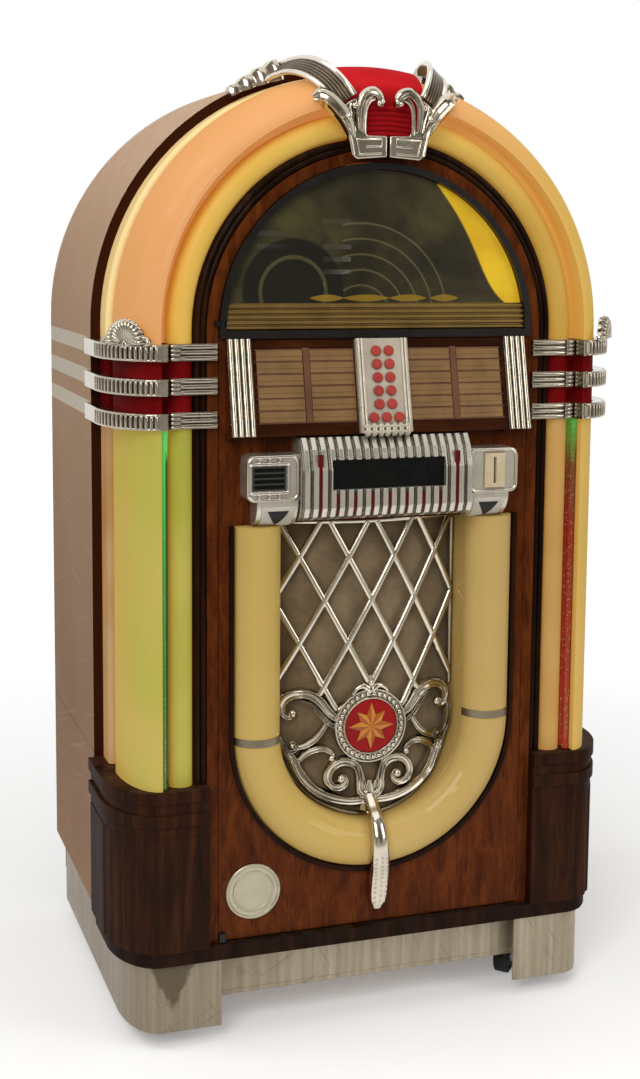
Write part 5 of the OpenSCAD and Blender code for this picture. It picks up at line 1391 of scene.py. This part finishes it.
# Stage: pale floor, white backdrop, soft lamps and the camera
stageSize = {"half": 30.0, "floorZ": -0.0005, "fade": (0.6, 2.2), "mirrorFade": (-2.0, -0.6), "shadow": 0.22}
half = stageSize["half"]
corners = [(x, y, stageSize["floorZ"]) for x, y in ((-half, -half), (half, -half), (half, half), (-half, half))]
floorMesh = bpy.data.meshes.new("studioFloor")
floorMesh.from_pydata(corners, [], [(0, 1, 2, 3)])
floor = bpy.data.objects.new("studioFloor", floorMesh)
scene.collection.objects.link(floor)
floorPaint, tree, sockets = makeMaterial("floorPaint", Specular_IOR_Level=0.1, Emission_Strength=1.0)
pale = mixTone(tree, noise(tree, placed(tree), 2.0), tone(250, 250, 249), tone(253, 253, 252))
reach = put(tree, "ShaderNodeVectorMath", {0: placed(tree)}, operation="LENGTH").outputs["Value"]
feed(tree, sockets["Base Color"], mixTone(tree, spread(tree, reach, *stageSize["fade"]), pale, tone(0, 0, 0)))
rays = put(tree, "ShaderNodeLightPath").outputs
behind = spread(tree, axes(tree, placed(tree))["Y"], *stageSize["mirrorFade"])
mirrored = times(tree, rays["Is Glossy Ray"], behind)
direct = larger(tree, larger(tree, rays["Is Camera Ray"], rays["Is Transmission Ray"]), mirrored)
dim = mixTone(tree, rays["Is Glossy Ray"], tone(60, 60, 60), (0.42, 0.4, 0.365, 1))
bright = spread(tree, reach, *stageSize["fade"], stageSize["shadow"], 1.0)
edge = mixTone(tree, bright, tone(0, 0, 0), tone(255, 255, 255))
feed(tree, sockets["Emission Color"], mixTone(tree, direct, dim, edge))
feed(tree, sockets["Roughness"], glossMask(tree, 0.7, 0.8))
floorMesh.materials.append(floorPaint)

world = bpy.data.worlds.new("studioWorld")
world.use_nodes = True
scene.world = world
tree = world.node_tree
backdrop = tree.nodes["Background"]
rays = put(tree, "ShaderNodeLightPath").outputs
toward = axes(tree, put(tree, "ShaderNodeTexCoord").outputs["Generated"])
walling = {"panels": 7.0, "panelEdge": (-0.1, 0.6), "panelDark": 0.7, "whiteBehind": (-0.1, 0.3)}
room = ramp(tree, spread(tree, toward["Z"], -1.0, 1.0), [
    (0.0, (0.3, 0.285, 0.26, 1)), (0.45, (0.3, 0.285, 0.26, 1)), (0.53, (0.5, 0.48, 0.44, 1)),
    (0.64, (0.24, 0.225, 0.205, 1)), (0.8, (0.34, 0.32, 0.295, 1)), (1.0, (0.5, 0.485, 0.46, 1))])
around = calc(tree, "ARCTAN2", toward["X"], toward["Y"])
panels = calc(tree, "SINE", times(tree, around, walling["panels"]))
dark = spread(tree, panels, *walling["panelEdge"], 0.0, walling["panelDark"])
walls = mixTone(tree, dark, room, (0.05, 0.046, 0.04, 1))
white = spread(tree, toward["Y"], *walling["whiteBehind"])
glossy = times(tree, rays["Is Glossy Ray"], white)
clear = larger(tree, rays["Is Camera Ray"], rays["Is Transmission Ray"])
shown = mixTone(tree, rays["Is Diffuse Ray"], walls, (0.32, 0.315, 0.31, 1))
feed(tree, backdrop.inputs["Color"], mixTone(tree, larger(tree, clear, glossy), shown, (1, 1, 1, 1)))

lamps = [
    {"name": "keyLamp", "place": (-2.4, -3.6, 3.2), "size": (2.0, 2.6), "power": 95},
    {"name": "fillLamp", "place": (2.8, -3.0, 2.2), "size": (1.6, 2.4), "power": 34},
    {"name": "sideLamp", "place": (-3.0, 0.3, 4.0), "size": (1.6, 1.6), "power": 30},
    {"name": "topLamp", "place": (0.2, -0.6, 4.4), "size": (4.0, 3.0), "power": 42},
]
target = Vector((0, 0, 0.8))
for lamp in lamps:
    data = bpy.data.lights.new(lamp["name"], "AREA")
    data.shape = "RECTANGLE"
    data.size, data.size_y = lamp["size"]
    data.energy = lamp["power"]
    made = bpy.data.objects.new(lamp["name"], data)
    made.location = lamp["place"]
    made.rotation_euler = (target - Vector(lamp["place"])).to_track_quat("-Z", "Y").to_euler()
    scene.collection.objects.link(made)

# Camera fitted to the photo's corners and edges
shot = {"place": (-0.9026, -2.6498, 1.2659), "yaw": 19.183, "pitch": 6.933, "roll": 0.532,
        "focal": 1624.6, "centre": (334.8, 441.9), "frame": (640, 1079), "sensor": 36}
yaw, pitch, roll = (math.radians(shot[name]) for name in ("yaw", "pitch", "roll"))
ahead = Vector((math.sin(yaw) * math.cos(pitch), math.cos(yaw) * math.cos(pitch), -math.sin(pitch)))
level = Vector((math.cos(yaw), -math.sin(yaw), 0))
above = level.cross(ahead)
right = math.cos(roll) * level + math.sin(roll) * above
up = -math.sin(roll) * level + math.cos(roll) * above
cameraData = bpy.data.cameras.new("photoCamera")
cameraData.sensor_fit = "AUTO"
cameraData.sensor_width = shot["sensor"]
wide, tall = shot["frame"]
cameraData.lens = shot["focal"] / tall * shot["sensor"]
cameraData.shift_x = (wide / 2 - shot["centre"][0]) / tall
cameraData.shift_y = (shot["centre"][1] - tall / 2) / tall
camera = bpy.data.objects.new("photoCamera", cameraData)
camera.matrix_world = Matrix((
    (right.x, up.x, -ahead.x, shot["place"][0]),
    (right.y, up.y, -ahead.y, shot["place"][1]),
    (right.z, up.z, -ahead.z, shot["place"][2]),
    (0, 0, 0, 1)))
scene.collection.objects.link(camera)
scene.camera = camera
scene.view_settings.view_transform = "Standard"
print("stage set")
